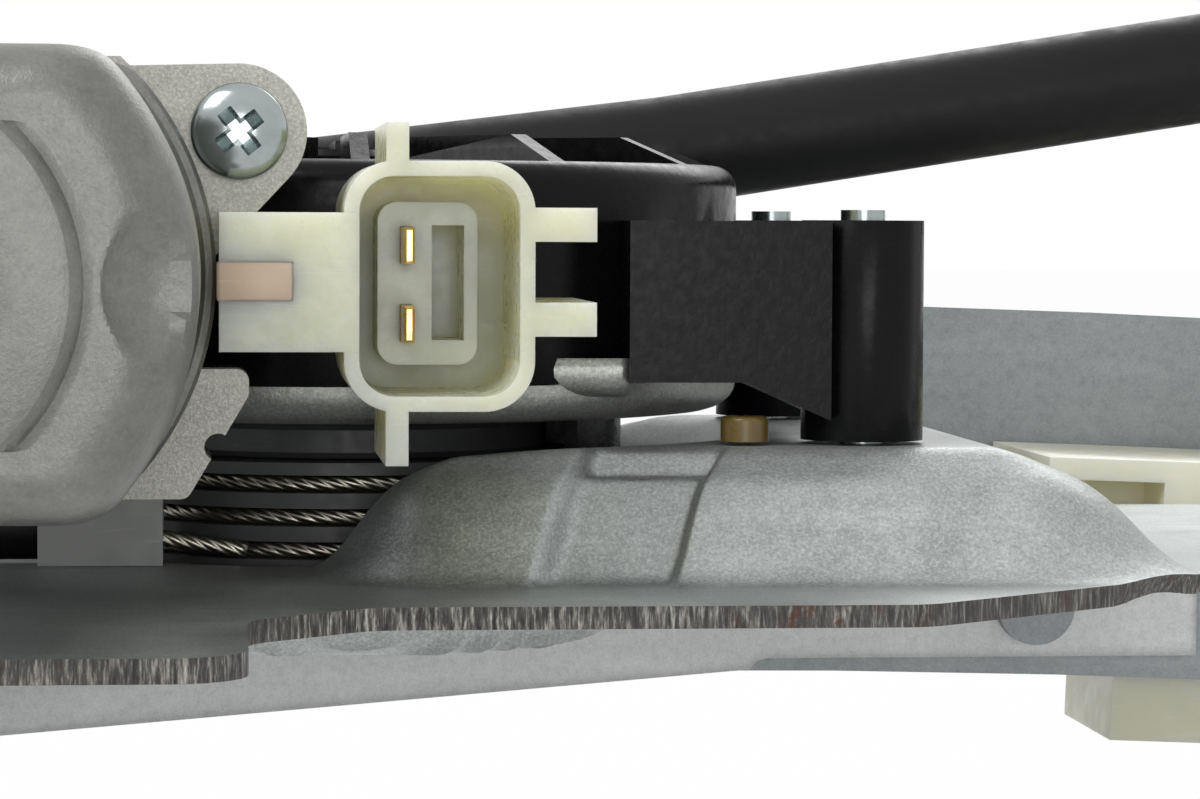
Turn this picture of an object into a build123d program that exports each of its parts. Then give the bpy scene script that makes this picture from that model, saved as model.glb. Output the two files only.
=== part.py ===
"""Power window regulator: a curved slotted rail, a stamped motor plate, a worm-geared motor, a cable drum,
two end pulleys and a nylon glass carrier that the cable pulls along the rail. Sizes are in millimetres.

The origin is midway between the holes of the two end feet, in the plane of their mounting faces.
X runs along the rail, Y across it towards the far side, and Z away from the mounting plane."""

import os
from math import cos, degrees, pi, radians, sin

from build123d import *

os.makedirs("parts", exist_ok=True)

# Running fits and small gaps
running_gap = 0.06
sliding_gap = 0.4
seat_gap = 0.05

# Guide rail
rail_radius = 1500.0
rail_half_length = 270.0
rail_sheet = 1.5
rail_near_y = -17.0
rail_far_y = 20.0
rail_end_rise = 4.26554
rail_end_plain = 38.0
rail_near_height = 11.5
rail_far_height = 37.5
rail_far_low_height = 9.0
rail_upstand_from = 22.0
rail_upstand_margin = 65.0
rail_upstand_slope = 16.0
slot_width = 8.0
slot_margin = 48.0

# Motor plate
plate_rise = 16.5
plate_sheet = 1.8
plateau_height = 11.2
plateau_brow = 3.6
plateau_taper = 32.0
plateau_brow_taper = 58.0
plateau_corner = 9.0
pan_radius = 26.5
pan_depth = 6.4
pan_taper = 18.0

# Drum, gear and motor places
drum_x = -30.0
drum_y = -66.0
motor_axis_height = 25.7
flange_y = -120.0
can_length = 52.0
can_radius = 22.6
can_half_flat = 16.2
can_wall = 1.9
can_shoulder = 5.0
rim_width = 1.2
shaft_radius = 3.0

# Worm drive
gear_teeth = 62
gear_module = 1.0
gear_width = 9.0
tooth_addendum = 0.9
tooth_dedendum = 1.2
worm_pitch_radius = 5.0
wheel_side_gap = 2.2
worm_root_radius = 3.6
worm_tip_radius = 5.8
worm_length = 26.0
thread_tip_width = 0.6
thread_root_width = 1.0
tooth_root_width = 1.1

# Cable and drum
cable_diameter = 1.5
drum_groove_radius = 20.0
drum_flange_radius = 22.4
drum_bottom = -4.4
drum_height = 13.2
groove_pitch = 2.95
groove_count = 4
top_groove_height = 6.9

# Gear housing
housing_wall = 2.4
housing_bottom = 16.2
housing_top = 35.4
rib_height = 2.4
rib_count = 12
rib_width = 1.6
tunnel_radius = 9.5
post_radius = 5.35
post_top = 30.4
post_places = [(14.15, -94.6), (12.5, -50.0), (-90.0, -58.0)]
post_screw_radius = 1.95
post_screw_rise = 0.9
screw_radius = 2.4
screw_gap = 0.15

# End pulleys
pulley_margin = 17.0
pulley_groove_radius = 14.45
pulley_rim_radius = 16.6
pulley_width = 6.0
cable_lane_y = 8.0
cable_lane_height = 6.0
axle_radius = 4.0

# Conduits
conduit_radius = 2.9
sleeve_radius = 5.8

# Carrier
carrier_station = 93.0
carrier_length = 90.0
carrier_near_y = -14.0
carrier_far_y = 17.0
carrier_top_height = 22.0
carrier_foot_depth = 9.4
carrier_foot_half_width = 11.5

# Mounting
foot_hole_radius = 4.2
foot_hole_reach = 16.0

rail_floor_z = rail_end_rise + rail_radius * (1 - cos(rail_half_length / rail_radius))
rail_wall_end = rail_half_length - rail_end_plain
rail_upstand_to = rail_half_length - rail_upstand_margin
pulley_station = rail_half_length - pulley_margin
foot_station = rail_half_length + foot_hole_reach
plate_top = rail_floor_z + plate_rise
plate_bottom = plate_top - plate_sheet
wheel_pitch_radius = gear_module * gear_teeth / 2
wheel_rim_radius = wheel_pitch_radius - tooth_dedendum
wheel_tip_radius = wheel_pitch_radius + tooth_addendum
worm_offset = wheel_pitch_radius + worm_pitch_radius
housing_radius = wheel_tip_radius + wheel_side_gap + housing_wall
cable_radius = cable_diameter / 2
rail_centre_z = rail_floor_z - rail_radius
motor_x = drum_x - worm_offset
motor_z = plate_top + motor_axis_height
wrap_radius = pulley_groove_radius + running_gap + cable_radius
drum_wrap_radius = drum_groove_radius + cable_radius
pulley_y = cable_lane_y - wrap_radius
return_y = pulley_y - wrap_radius
plateau_top = plate_top + plateau_height
drum_axis = Axis((drum_x, drum_y, 0), (0, 0, 1))
rail_axis = Axis((0, 0, rail_centre_z), (0, 1, 0))


def save(piece, name):
    """Labels a finished piece and writes it."""
    piece.part.label = name
    export_step(piece.part, f"parts/{name}.step")


def rail_plane(station, height=0.0):
    """The plane across the rail at an arc distance from its middle: local x is across, local y is away from
    the floor, and the normal points along the rail."""
    angle = station / rail_radius
    reach = rail_radius + height
    return Plane(
        origin=(reach * sin(angle), 0, rail_centre_z + reach * cos(angle)),
        x_dir=(0, 1, 0),
        z_dir=(cos(angle), 0, -sin(angle)),
    )


def rail_level(station, height=0.0):
    """The plane of the rail's floor at a station, at a height above it: local x is along the rail,
    local y is across it, and the normal points away from the floor."""
    angle = station / rail_radius
    reach = rail_radius + height
    return Plane(
        origin=(reach * sin(angle), 0, rail_centre_z + reach * cos(angle)),
        x_dir=(cos(angle), 0, -sin(angle)),
        z_dir=(sin(angle), 0, cos(angle)),
    )


def arc_degrees(length):
    """The angle that a length along the rail's floor takes."""
    return degrees(length / rail_radius)


def level(height):
    """A horizontal plane at a height above the motor plate's top face, centred on the drum."""
    return Plane((drum_x, drum_y, plate_top + height))


def motor_plane(y):
    """A plane across the motor's axis, seen from its rear: local x is the frame's X, local y its Z."""
    return Plane(origin=(motor_x, y, motor_z), x_dir=(1, 0, 0), z_dir=(0, -1, 0))


# Rail and its feet
rail_mid_y = (rail_near_y + rail_far_y) / 2
rail_width = rail_far_y - rail_near_y
foot_length = 42.0
foot_sheet = 2.0
foot_width = 30.0
foot_strip_width = 16.0
foot_strip_y = 10.5
foot_strip_from = rail_half_length - 2 * pulley_margin - foot_sheet
foot_strip_to = rail_half_length - 2 * foot_sheet
rivet_radius = 2.5
rivet_head_radius = 4.2
rivet_head_height = 1.6
foot_rivet_inboard = 30.0
foot_rivet_spacing = 20.0
foot_rivet_stations = (
    rail_half_length - foot_rivet_inboard,
    rail_half_length - foot_rivet_inboard + foot_rivet_spacing,
)
axle_tail_radius = 3.0
flange_rivet_places = (-62.0, -8.0, 46.0)
flange_rivet_rise = 5.5
flange_rivet_z = rail_floor_z + flange_rivet_rise
plate_flange_y = rail_near_y - seat_gap - plate_sheet
thin_head = 0.8


def make_guide_rail():
    with BuildPart() as guide_rail:
        with BuildSketch(rail_plane(-rail_half_length)):
            with Locations((rail_mid_y, -rail_sheet / 2)):
                Rectangle(rail_width, rail_sheet)
        revolve(axis=rail_axis, revolution_arc=arc_degrees(2 * rail_half_length))
        with BuildSketch(rail_plane(-rail_wall_end)):
            with Locations((rail_near_y, -rail_sheet)):
                Rectangle(rail_sheet, rail_sheet + rail_near_height, align=(Align.MIN, Align.MIN))
            with Locations((rail_far_y, -rail_sheet)):
                Rectangle(rail_sheet, rail_sheet + rail_far_low_height, align=(Align.MAX, Align.MIN))
        revolve(axis=rail_axis, revolution_arc=arc_degrees(2 * rail_wall_end))
        with BuildSketch(rail_plane(rail_upstand_from)):
            with Locations((rail_far_y, -rail_sheet)):
                Rectangle(rail_sheet, rail_sheet + rail_far_height, align=(Align.MAX, Align.MIN))
        revolve(axis=rail_axis, revolution_arc=arc_degrees(rail_upstand_to - rail_upstand_from))
        high = guide_rail.edges().filter_by(Axis.Y).filter_by(lambda e: e.center().Z > plate_top)
        chamfer(high, length=rail_upstand_slope)
        with BuildSketch(rail_plane(slot_margin - rail_half_length)):
            with Locations((rail_mid_y, 0)):
                Rectangle(slot_width, 4 * rail_sheet)
        slot_length = 2 * (rail_half_length - slot_margin)
        revolve(axis=rail_axis, revolution_arc=arc_degrees(slot_length), mode=Mode.SUBTRACT)
        for side in (-1, 1):
            with BuildSketch(rail_level(side * pulley_station, rail_sheet)):
                with Locations((0, pulley_y)):
                    Circle(axle_tail_radius)
            extrude(amount=-4 * rail_sheet, mode=Mode.SUBTRACT)
            for station in foot_rivet_stations:
                with BuildSketch(rail_level(side * station, rail_sheet)):
                    with Locations((0, foot_strip_y)):
                        Circle(rivet_radius)
                extrude(amount=-4 * rail_sheet, mode=Mode.SUBTRACT)
        for x in flange_rivet_places:
            with BuildSketch(Plane.XZ.offset(-rail_near_y - rail_sheet)):
                with Locations((x, flange_rivet_z)):
                    Circle(rivet_radius)
            extrude(amount=2 * rail_sheet, mode=Mode.SUBTRACT)
    save(guide_rail, "guide_rail")


def make_rail_foot(side, name):
    strip_start = -foot_strip_to if side < 0 else foot_strip_from
    with BuildPart() as rail_foot:
        with BuildSketch(rail_plane(strip_start)):
            with Locations((foot_strip_y, -rail_sheet - seat_gap)):
                Rectangle(foot_strip_width, foot_sheet, align=(Align.CENTER, Align.MAX))
        revolve(axis=rail_axis, revolution_arc=arc_degrees(foot_strip_to - foot_strip_from))
        with BuildSketch():
            with Locations((side * (foot_station - foot_length / 4), 0)):
                RectangleRounded(foot_length, foot_width + foot_strip_y, foot_sheet * 3)
            with Locations((side * foot_station, 0)):
                Circle(foot_hole_radius, mode=Mode.SUBTRACT)
        extrude(amount=foot_sheet)
        for station in foot_rivet_stations:
            with BuildSketch(rail_level(side * station, rail_sheet)):
                with Locations((0, foot_strip_y)):
                    Circle(rivet_radius)
            extrude(amount=-6 * rail_sheet, mode=Mode.SUBTRACT)
    save(rail_foot, name)


def make_foot_rivets():
    with BuildPart() as foot_rivets:
        for side in (-1, 1):
            for station in foot_rivet_stations:
                with BuildSketch(rail_level(side * station, seat_gap)):
                    with Locations((0, foot_strip_y)):
                        Circle(rivet_head_radius)
                extrude(amount=rivet_head_height)
                with BuildSketch(rail_level(side * station, seat_gap)):
                    with Locations((0, foot_strip_y)):
                        Circle(rivet_radius - running_gap)
                extrude(amount=-rail_sheet - foot_sheet)
    save(foot_rivets, "foot_rivets")


# Motor plate
ear_left_x = -112.0
ear_near_y = -163.0
ear_right_x = -40.0
ear_step_y = -138.0
plate_front_y = -128.5
front_left_x = -30.0
front_right_x = 14.0
plate_right_x = 42.0
plate_right_y = -105.0
plate_far_right_x = 70.0
plate_far_y = plate_flange_y
plate_left_x = -112.0
plate_flange_left = -96.0
plate_flange_left_depth = 26.8
plate_flange_right_depth = 16.6
plate_flange_left_z = plate_top - plate_flange_left_depth
plate_flange_step_x = 15.0
plate_flange_step = 1.2
plate_flange_right = 64.0
plate_flange_right_z = plate_top - plate_flange_right_depth
plateau_left = -33.0
plateau_right = 41.0
plateau_near = -112.0
plateau_far = -34.0
plateau_drum_radius = 27.5
channel_x = -9.0
channel_width = 12.0
channel_depth = 5.0
foot_leg_x = -84.0
foot_rivet_inset = 9.0
foot_rivet_step = 10.0
axle_pin_radius = 4.0
drum_bore_radius = axle_pin_radius + running_gap


def plateau_outline(grow):
    """The outline of the plate's raised part, cut back round the drum, with a channel in its near side."""
    corner = plateau_corner - grow
    with BuildSketch() as outline:
        with BuildLine():
            Polyline(
                (plateau_left + grow, plateau_near + grow),
                (plateau_right - grow, plateau_near + grow),
                (plateau_right - grow, plateau_far - grow),
                (drum_x + plateau_drum_radius, plateau_far - grow),
                (drum_x, drum_y),
                close=True,
            )
        make_face()
        with Locations((drum_x, drum_y)):
            Circle(plateau_drum_radius + grow, mode=Mode.SUBTRACT)
        right_side = plateau_right - 2 * grow - seat_gap
        fillet(outline.vertices().filter_by(lambda v: v.X > right_side), radius=corner)
        with Locations((channel_x, plateau_near + grow)):
            Rectangle(channel_width + 2 * grow, 2 * channel_depth, mode=Mode.SUBTRACT)
    return outline


def plateau_solid(grow, base):
    """The raised part as a solid: a steep wall below and a flatter brow above."""
    with BuildPart() as plateau:
        with BuildSketch(Plane.XY.offset(base)):
            add(plateau_outline(grow))
        extrude(amount=plateau_height - plateau_brow, taper=plateau_taper)
        brow = plateau.faces().sort_by(Axis.Z)[-1]
        extrude(to_extrude=brow, amount=plateau_brow, taper=plateau_brow_taper)
    return plateau.part


def make_motor_plate():
    with BuildPart() as motor_plate:
        with BuildSketch(Plane.XY.offset(plate_bottom)):
            with BuildLine():
                Polyline(
                    (ear_left_x, ear_near_y),
                    (ear_right_x, ear_near_y),
                    (ear_right_x, ear_step_y),
                    (front_left_x, plate_front_y),
                    (front_right_x, plate_front_y),
                    (plate_right_x, plate_right_y),
                    (plate_far_right_x, plate_far_y),
                    (plate_left_x, plate_far_y),
                    close=True,
                )
            make_face()
        extrude(amount=plate_sheet)
        fillet(motor_plate.edges().filter_by(Axis.Z), radius=3 * plate_sheet)
        with BuildSketch(Plane.XZ.offset(-plate_flange_y)):
            with BuildLine():
                Polyline(
                    (plate_flange_left, plate_top - plate_sheet / 2),
                    (plate_flange_left, plate_flange_left_z),
                    (plate_flange_step_x, plate_flange_right_z - plate_flange_step),
                    (plate_flange_step_x + plate_flange_step, plate_flange_right_z),
                    (plate_flange_right, plate_flange_right_z),
                    (plate_flange_right, plate_top - plate_sheet / 2),
                    close=True,
                )
            make_face()
        extrude(amount=-plate_sheet)
        add(plateau_solid(0, plate_top))
        with BuildSketch(level(0)):
            Circle(pan_radius)
        extrude(amount=-pan_depth - plate_sheet, taper=pan_taper)
        with BuildSketch(level(0)):
            Circle(pan_radius - plate_sheet)
        extrude(amount=-pan_depth, taper=pan_taper, mode=Mode.SUBTRACT)
        add(plateau_solid(plate_sheet / 2, plate_bottom), mode=Mode.SUBTRACT)
        with BuildSketch(level(0)):
            Circle(axle_pin_radius)
        extrude(amount=-3 * pan_depth, mode=Mode.SUBTRACT)
        for x in flange_rivet_places:
            with BuildSketch(Plane.XZ.offset(-rail_near_y - rail_sheet)):
                with Locations((x, flange_rivet_z)):
                    Circle(rivet_radius)
            extrude(amount=4 * plate_sheet, mode=Mode.SUBTRACT)
        for x, y in post_places:
            with BuildSketch(Plane.XY.offset(plateau_top + plate_sheet)):
                with Locations((x, y)):
                    Circle(post_screw_radius + screw_gap)
            extrude(amount=-3 * plateau_height, mode=Mode.SUBTRACT)
        with BuildSketch(Plane.XY.offset(plate_top + plate_sheet)):
            for step in (-foot_rivet_step, foot_rivet_step):
                with Locations((foot_leg_x + step, ear_near_y + foot_rivet_inset)):
                    Circle(rivet_radius)
        extrude(amount=-4 * plate_sheet, mode=Mode.SUBTRACT)
    save(motor_plate, "motor_plate")



# Drum, its pin and the rope on it
pin_head_radius = 6.5
pin_head_height = 1.6
pin_top = 36.8
drum_dog_width = 7.0
drum_dog_height = 3.4
drum_dog_gap = 0.15
wheel_hub_radius = 8.6
wheel_web = 3.0
wheel_rim_width = 4.6
wheel_pocket_count = 6
wheel_pocket_radius = 3.6
wheel_pocket_ring = 18.0
damper_height = 3.4
drum_pocket_radius = 3.0
drum_pocket_ring = 13.6
drum_pocket_count = 8
drum_rim_height = 1.1
winding_gap = 0.05
cover_bottom = 12.8
cover_sheet = 1.6
cover_edge = 1.3
cover_rim_height = 3.4
cover_hole_radius = 10.4
gear_centre_height = motor_axis_height
groove_heights = [top_groove_height - k * groove_pitch for k in range(groove_count)]
dog_top = cover_bottom + cover_rim_height + 4.0


def make_axle_pin():
    with BuildPart() as axle_pin:
        with BuildSketch(level(-pan_depth - plate_sheet - pin_head_height)):
            Circle(pin_head_radius)
        extrude(amount=pin_head_height - seat_gap)
        with BuildSketch(level(-pan_depth - plate_sheet - pin_head_height)):
            Circle(axle_pin_radius - winding_gap)
        extrude(amount=pin_head_height + plate_sheet + pan_depth + pin_top)
        chamfer(axle_pin.faces().sort_by(Axis.Z)[-1].edges(), length=0.6)
    save(axle_pin, "axle_pin")


def make_drum():
    with BuildPart() as drum:
        with BuildSketch(level(drum_bottom)):
            Circle(drum_flange_radius)
        extrude(amount=drum_height)
        with BuildSketch(Plane.XZ.offset(-drum_y)):
            for height in groove_heights:
                with Locations((drum_x + drum_wrap_radius, plate_top + height)):
                    Circle(cable_radius + winding_gap)
                with Locations((drum_x + drum_wrap_radius, plate_top + height)):
                    width = 2 * (cable_radius + winding_gap)
                    Rectangle(drum_flange_radius, width, align=(Align.MIN, Align.CENTER))
        revolve(axis=drum_axis, revolution_arc=360, mode=Mode.SUBTRACT)
        with BuildSketch(level(drum_bottom)):
            with PolarLocations(drum_pocket_ring, drum_pocket_count):
                Circle(drum_pocket_radius)
        extrude(amount=drum_height - 3 * drum_rim_height, mode=Mode.SUBTRACT)
        with BuildSketch(level(drum_bottom)):
            Circle(drum_bore_radius)
        extrude(amount=drum_height, mode=Mode.SUBTRACT)
        with BuildSketch(level(drum_bottom + drum_height - drum_dog_height)):
            RegularPolygon(drum_dog_width, 6)
        extrude(amount=2 * drum_dog_height, mode=Mode.SUBTRACT)
    save(drum, "drum")


def make_drum_windings():
    with BuildPart() as drum_windings:
        with BuildSketch(Plane.XZ.offset(-drum_y)):
            for height in groove_heights:
                with Locations((drum_x + drum_wrap_radius, plate_top + height)):
                    Circle(cable_radius)
        revolve(axis=drum_axis, revolution_arc=360)
    save(drum_windings, "drum_windings")


def make_drive_hub():
    with BuildPart() as drive_hub:
        with BuildSketch(level(drum_bottom + drum_height - drum_dog_height + seat_gap)):
            RegularPolygon(drum_dog_width - drum_dog_gap, 6)
        extrude(amount=cover_bottom + cover_rim_height - (drum_bottom + drum_height - drum_dog_height))
        with BuildSketch(level(cover_bottom + cover_rim_height)):
            RegularPolygon(drum_dog_width - drum_dog_gap, 6)
        extrude(amount=dog_top - cover_bottom - cover_rim_height)
        with BuildSketch(level(drum_bottom)):
            Circle(drum_bore_radius)
        extrude(amount=2 * dog_top, mode=Mode.SUBTRACT)
    save(drive_hub, "drive_hub")


def make_worm_wheel():
    wheel_bottom = gear_centre_height - gear_width / 2
    with BuildPart() as worm_wheel:
        with BuildSketch(level(wheel_bottom)):
            Circle(wheel_rim_radius)
            with PolarLocations(wheel_rim_radius, gear_teeth, start_angle=180):
                reach = wheel_tip_radius - wheel_rim_radius
                with Locations((reach / 2, 0)):
                    Rectangle(reach + 2 * seat_gap, tooth_root_width)
        extrude(amount=gear_width)
        with BuildSketch(level(wheel_bottom + wheel_web)):
            Circle(wheel_rim_radius - wheel_rim_width)
            Circle(wheel_hub_radius + wheel_web, mode=Mode.SUBTRACT)
        extrude(amount=gear_width, mode=Mode.SUBTRACT)
        with BuildSketch(level(wheel_bottom - seat_gap)):
            with PolarLocations(wheel_pocket_ring, wheel_pocket_count):
                Circle(wheel_pocket_radius)
        extrude(amount=gear_width, mode=Mode.SUBTRACT)
        with BuildSketch(level(wheel_bottom - seat_gap)):
            RegularPolygon(drum_dog_width, 6)
        extrude(amount=wheel_web + 2 * seat_gap, mode=Mode.SUBTRACT)
        with BuildSketch(level(wheel_bottom)):
            Circle(drum_bore_radius)
        extrude(amount=gear_width, mode=Mode.SUBTRACT)
    save(worm_wheel, "worm_wheel")


def make_drive_damper():
    wheel_bottom = gear_centre_height - gear_width / 2
    with BuildPart() as drive_damper:
        with BuildSketch(level(wheel_bottom + wheel_web + seat_gap)):
            Circle(wheel_pocket_ring + wheel_pocket_radius)
            Circle(wheel_hub_radius + wheel_web + running_gap, mode=Mode.SUBTRACT)
        extrude(amount=damper_height)
        with BuildSketch(level(wheel_bottom + seat_gap)):
            with PolarLocations(wheel_pocket_ring, wheel_pocket_count):
                Circle(wheel_pocket_radius - running_gap)
        extrude(amount=wheel_web + seat_gap)
    save(drive_damper, "drive_damper")


# Worm, armature and motor
worm_pitch = pi * gear_module
worm_start_y = drum_y + worm_pitch / 4 - 5 * worm_pitch
shaft_front_y = -43.4
shaft_rear_reach = 2.6
shaft_rear_y = flange_y - can_length - shaft_rear_reach
core_radius = 13.7
core_end_room = 22.0
core_shift = 1.0
core_length = can_length - core_end_room
core_centre_y = flange_y - can_length / 2 - core_shift
core_slot_count = 10
core_slot_width = 2.0
core_slot_depth = 5.0
winding_overhang = 5.0
commutator_radius = 9.0
commutator_front_y = -112.0
commutator_length = 12.0
commutator_bars = 10
bar_gap = 0.6
magnet_thickness = 4.6
magnet_overhang = 3.0
magnet_length = core_length + 2 * magnet_overhang
magnet_gap = 0.8
magnet_sweep = 66.0
bearing_radius = 7.0
bearing_length = 8.0
boss_radius = 8.5
boss_length = 6.0
step_radius = 15.0
step_height = 1.5
dimple_radius = 12.0
dimple_depth = 1.2


def make_armature_shaft():
    with BuildPart() as armature_shaft:
        with BuildSketch(motor_plane(shaft_front_y)):
            Circle(shaft_radius)
        extrude(amount=shaft_front_y - shaft_rear_y)
        with BuildSketch(motor_plane(worm_start_y + worm_length)):
            Circle(worm_root_radius)
        extrude(amount=worm_length)
    save(armature_shaft, "armature_shaft")


def make_worm():
    """The worm's thread, whose crest faces the wheel midway between two of its teeth."""
    thread = worm_tip_radius - worm_root_radius
    start = (motor_x, worm_start_y, motor_z)
    with BuildPart() as worm:
        with BuildLine() as path:
            Helix(worm_pitch, worm_length, worm_root_radius, center=start, direction=(0, 1, 0))
        with BuildSketch(Plane(origin=path.line @ 0, x_dir=(0, 0, 1), z_dir=(1, 0, 0))):
            with BuildLine():
                Polyline(
                    (-seat_gap, -thread_root_width / 2),
                    (thread, -thread_tip_width / 2),
                    (thread, thread_tip_width / 2),
                    (-seat_gap, thread_root_width / 2),
                    close=True,
                )
            make_face()
        sweep(path=path.wires()[0], is_frenet=True)
    save(worm, "worm_thread")


def make_armature_core():
    with BuildPart() as armature_core:
        with BuildSketch(motor_plane(core_centre_y + core_length / 2)):
            Circle(core_radius)
            with PolarLocations(core_radius - core_slot_depth / 2, core_slot_count):
                Rectangle(core_slot_depth + 1, core_slot_width, mode=Mode.SUBTRACT)
            Circle(shaft_radius, mode=Mode.SUBTRACT)
        extrude(amount=core_length)
    save(armature_core, "armature_core")


def make_armature_winding():
    inner = shaft_radius + 1
    outer = core_radius - 1.5
    with BuildPart() as armature_winding:
        near_end = core_centre_y - core_length / 2 - seat_gap
        far_end = core_centre_y + core_length / 2 + winding_overhang
        for y in (far_end, near_end):
            with BuildSketch(motor_plane(y)):
                Circle(outer)
                Circle(inner, mode=Mode.SUBTRACT)
            extrude(amount=winding_overhang - seat_gap)
        rims = armature_winding.edges().filter_by(GeomType.CIRCLE)
        fillet(rims.filter_by(lambda e: e.radius > inner + 1), radius=1.2)
    save(armature_winding, "armature_winding")


def make_commutator():
    with BuildPart() as commutator:
        with BuildSketch(motor_plane(commutator_front_y)):
            Circle(commutator_radius)
            with PolarLocations(commutator_radius, commutator_bars):
                Rectangle(3, bar_gap, mode=Mode.SUBTRACT)
            Circle(shaft_radius, mode=Mode.SUBTRACT)
        extrude(amount=commutator_length)
    save(commutator, "commutator")


def can_outline(grow):
    """The section of the motor's can: round at the sides, flat above and below."""
    with BuildSketch() as outline:
        Circle(can_radius + grow)
        Rectangle(4 * can_radius, 2 * (can_half_flat + grow), mode=Mode.INTERSECT)
    return outline


def can_solid(grow, length, shoulder):
    """The can's body, with rounded shoulders at its rear."""
    with BuildPart() as body:
        with BuildSketch(motor_plane(flange_y - seat_gap)):
            add(can_outline(grow))
        extrude(amount=length)
        fillet(body.faces().sort_by(Axis.Y)[0].edges(), radius=shoulder)
    return body.part


def make_motor_can():
    floor_y = flange_y - can_length
    reach = can_radius + dimple_radius - dimple_depth
    with BuildPart() as motor_can:
        add(can_solid(0, can_length, can_shoulder))
        with BuildSketch(motor_plane(flange_y - seat_gap)):
            add(can_outline(rim_width))
        extrude(amount=1.5 * rim_width)
        with BuildSketch(motor_plane(floor_y + can_wall)):
            Circle(step_radius)
        extrude(amount=can_wall + step_height)
        fillet(motor_can.faces().sort_by(Axis.Y)[0].edges(), radius=0.8 * step_height)
        with BuildSketch(motor_plane(floor_y + can_wall)):
            Circle(boss_radius)
        extrude(amount=can_wall + boss_length)
        fillet(motor_can.faces().sort_by(Axis.Y)[0].edges(), radius=step_height)
        for side in (-1, 1):
            foot = (motor_x + side * reach, floor_y, motor_z - dimple_radius)
            with BuildSketch(Plane(origin=foot, z_dir=(0, 0, 1))):
                Circle(dimple_radius)
            extrude(amount=2 * dimple_radius, mode=Mode.SUBTRACT)
        add(can_solid(-can_wall, can_length - can_wall, can_shoulder - can_wall), mode=Mode.SUBTRACT)
        with BuildSketch(motor_plane(flange_y)):
            Circle(bearing_radius + seat_gap)
        extrude(amount=can_length + boss_length / 2, mode=Mode.SUBTRACT)
    save(motor_can, "motor_can")


def make_rear_bearing():
    with BuildPart() as rear_bearing:
        with BuildSketch(motor_plane(flange_y - can_length + can_wall)):
            Circle(bearing_radius)
            Circle(shaft_radius + running_gap, mode=Mode.SUBTRACT)
        extrude(amount=bearing_length - 2 * can_wall)
    save(rear_bearing, "rear_bearing")


def make_magnets():
    with BuildPart() as magnets:
        with BuildSketch(motor_plane(core_centre_y + magnet_length / 2)):
            Circle(can_radius - can_wall - seat_gap)
            Circle(core_radius + magnet_gap, mode=Mode.SUBTRACT)
            height = 2 * core_radius * sin(radians(magnet_sweep / 2)) + magnet_thickness
            Rectangle(4 * can_radius, height, mode=Mode.INTERSECT)
        extrude(amount=magnet_length)
    save(magnets, "magnets")


# Gear housing and cover
flange_thickness = 5.0
brush_plate_thickness = 3.5
seal_thickness = 0.9
ear_radius = 5.4
ear_reach = 25.6
ear_rise = 11.5
lobe_inner = 12.0
lobe_heel = 21.5
lobe_reach = 26.4
lobe_bottom = -17.8
lobe_side = -9.5
lobe_top = -7.4
lobe_corner = 1.0
lobe_notch_radius = 1.1
neck_radius = 15.2
neck_length = 18.0
neck_bore = 12.6
tunnel_bore = 6.6
tunnel_end_y = -40.0
block_left = -6.9
block_right = 10.6
block_near = -100.0
block_bottom = 16.4
block_top = 30.3
gusset_left = 3.1
gusset_bottom = 13.1
gusset_thickness = 9.0
side_arm_width = 7.0
side_arm_top = 27.0
left_arm_bottom = 16.6
left_arm_top = 24.0
rib_inner = 7.0
rib_outer = 34.4
rib_slope = 6.0
cap_fillet = 2.2
tab_left = -13.7
tab_right = -7.0
tab_near = -101.0
tab_top = 18.2
amber_x = 3.4
amber_y = -97.5
amber_radius = 2.1
amber_height = 2.2


def flange_outline():
    """The section of the motor's flange: the can's round with a screw ear on each side and a lobe."""
    with BuildSketch() as outline:
        add(can_outline(rim_width))
        for side in (-1, 1):
            with BuildSketch(mode=Mode.PRIVATE) as ear:
                Circle(can_half_flat)
                with Locations((side * ear_reach, side * ear_rise)):
                    Circle(ear_radius)
                make_hull()
            add(ear.sketch)
        with BuildSketch(mode=Mode.PRIVATE) as lobe:
            with BuildLine():
                Polyline(
                    (lobe_inner, lobe_bottom),
                    (lobe_heel, lobe_bottom),
                    (lobe_reach, lobe_side),
                    (lobe_reach, lobe_top),
                    (lobe_inner, lobe_top),
                    close=True,
                )
            make_face()
            fillet(lobe.vertices().filter_by(lambda v: v.X > lobe_inner + lobe_corner), radius=lobe_corner)
            with Locations(((lobe_heel + lobe_reach) / 2, (lobe_bottom + lobe_side) / 2)):
                Circle(lobe_notch_radius, mode=Mode.SUBTRACT)
        add(lobe.sketch)
    return outline


def ear_places():
    return [(ear_reach, ear_rise), (-ear_reach, -ear_rise)]


housing_face_y = flange_y + brush_plate_thickness + seal_thickness


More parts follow.
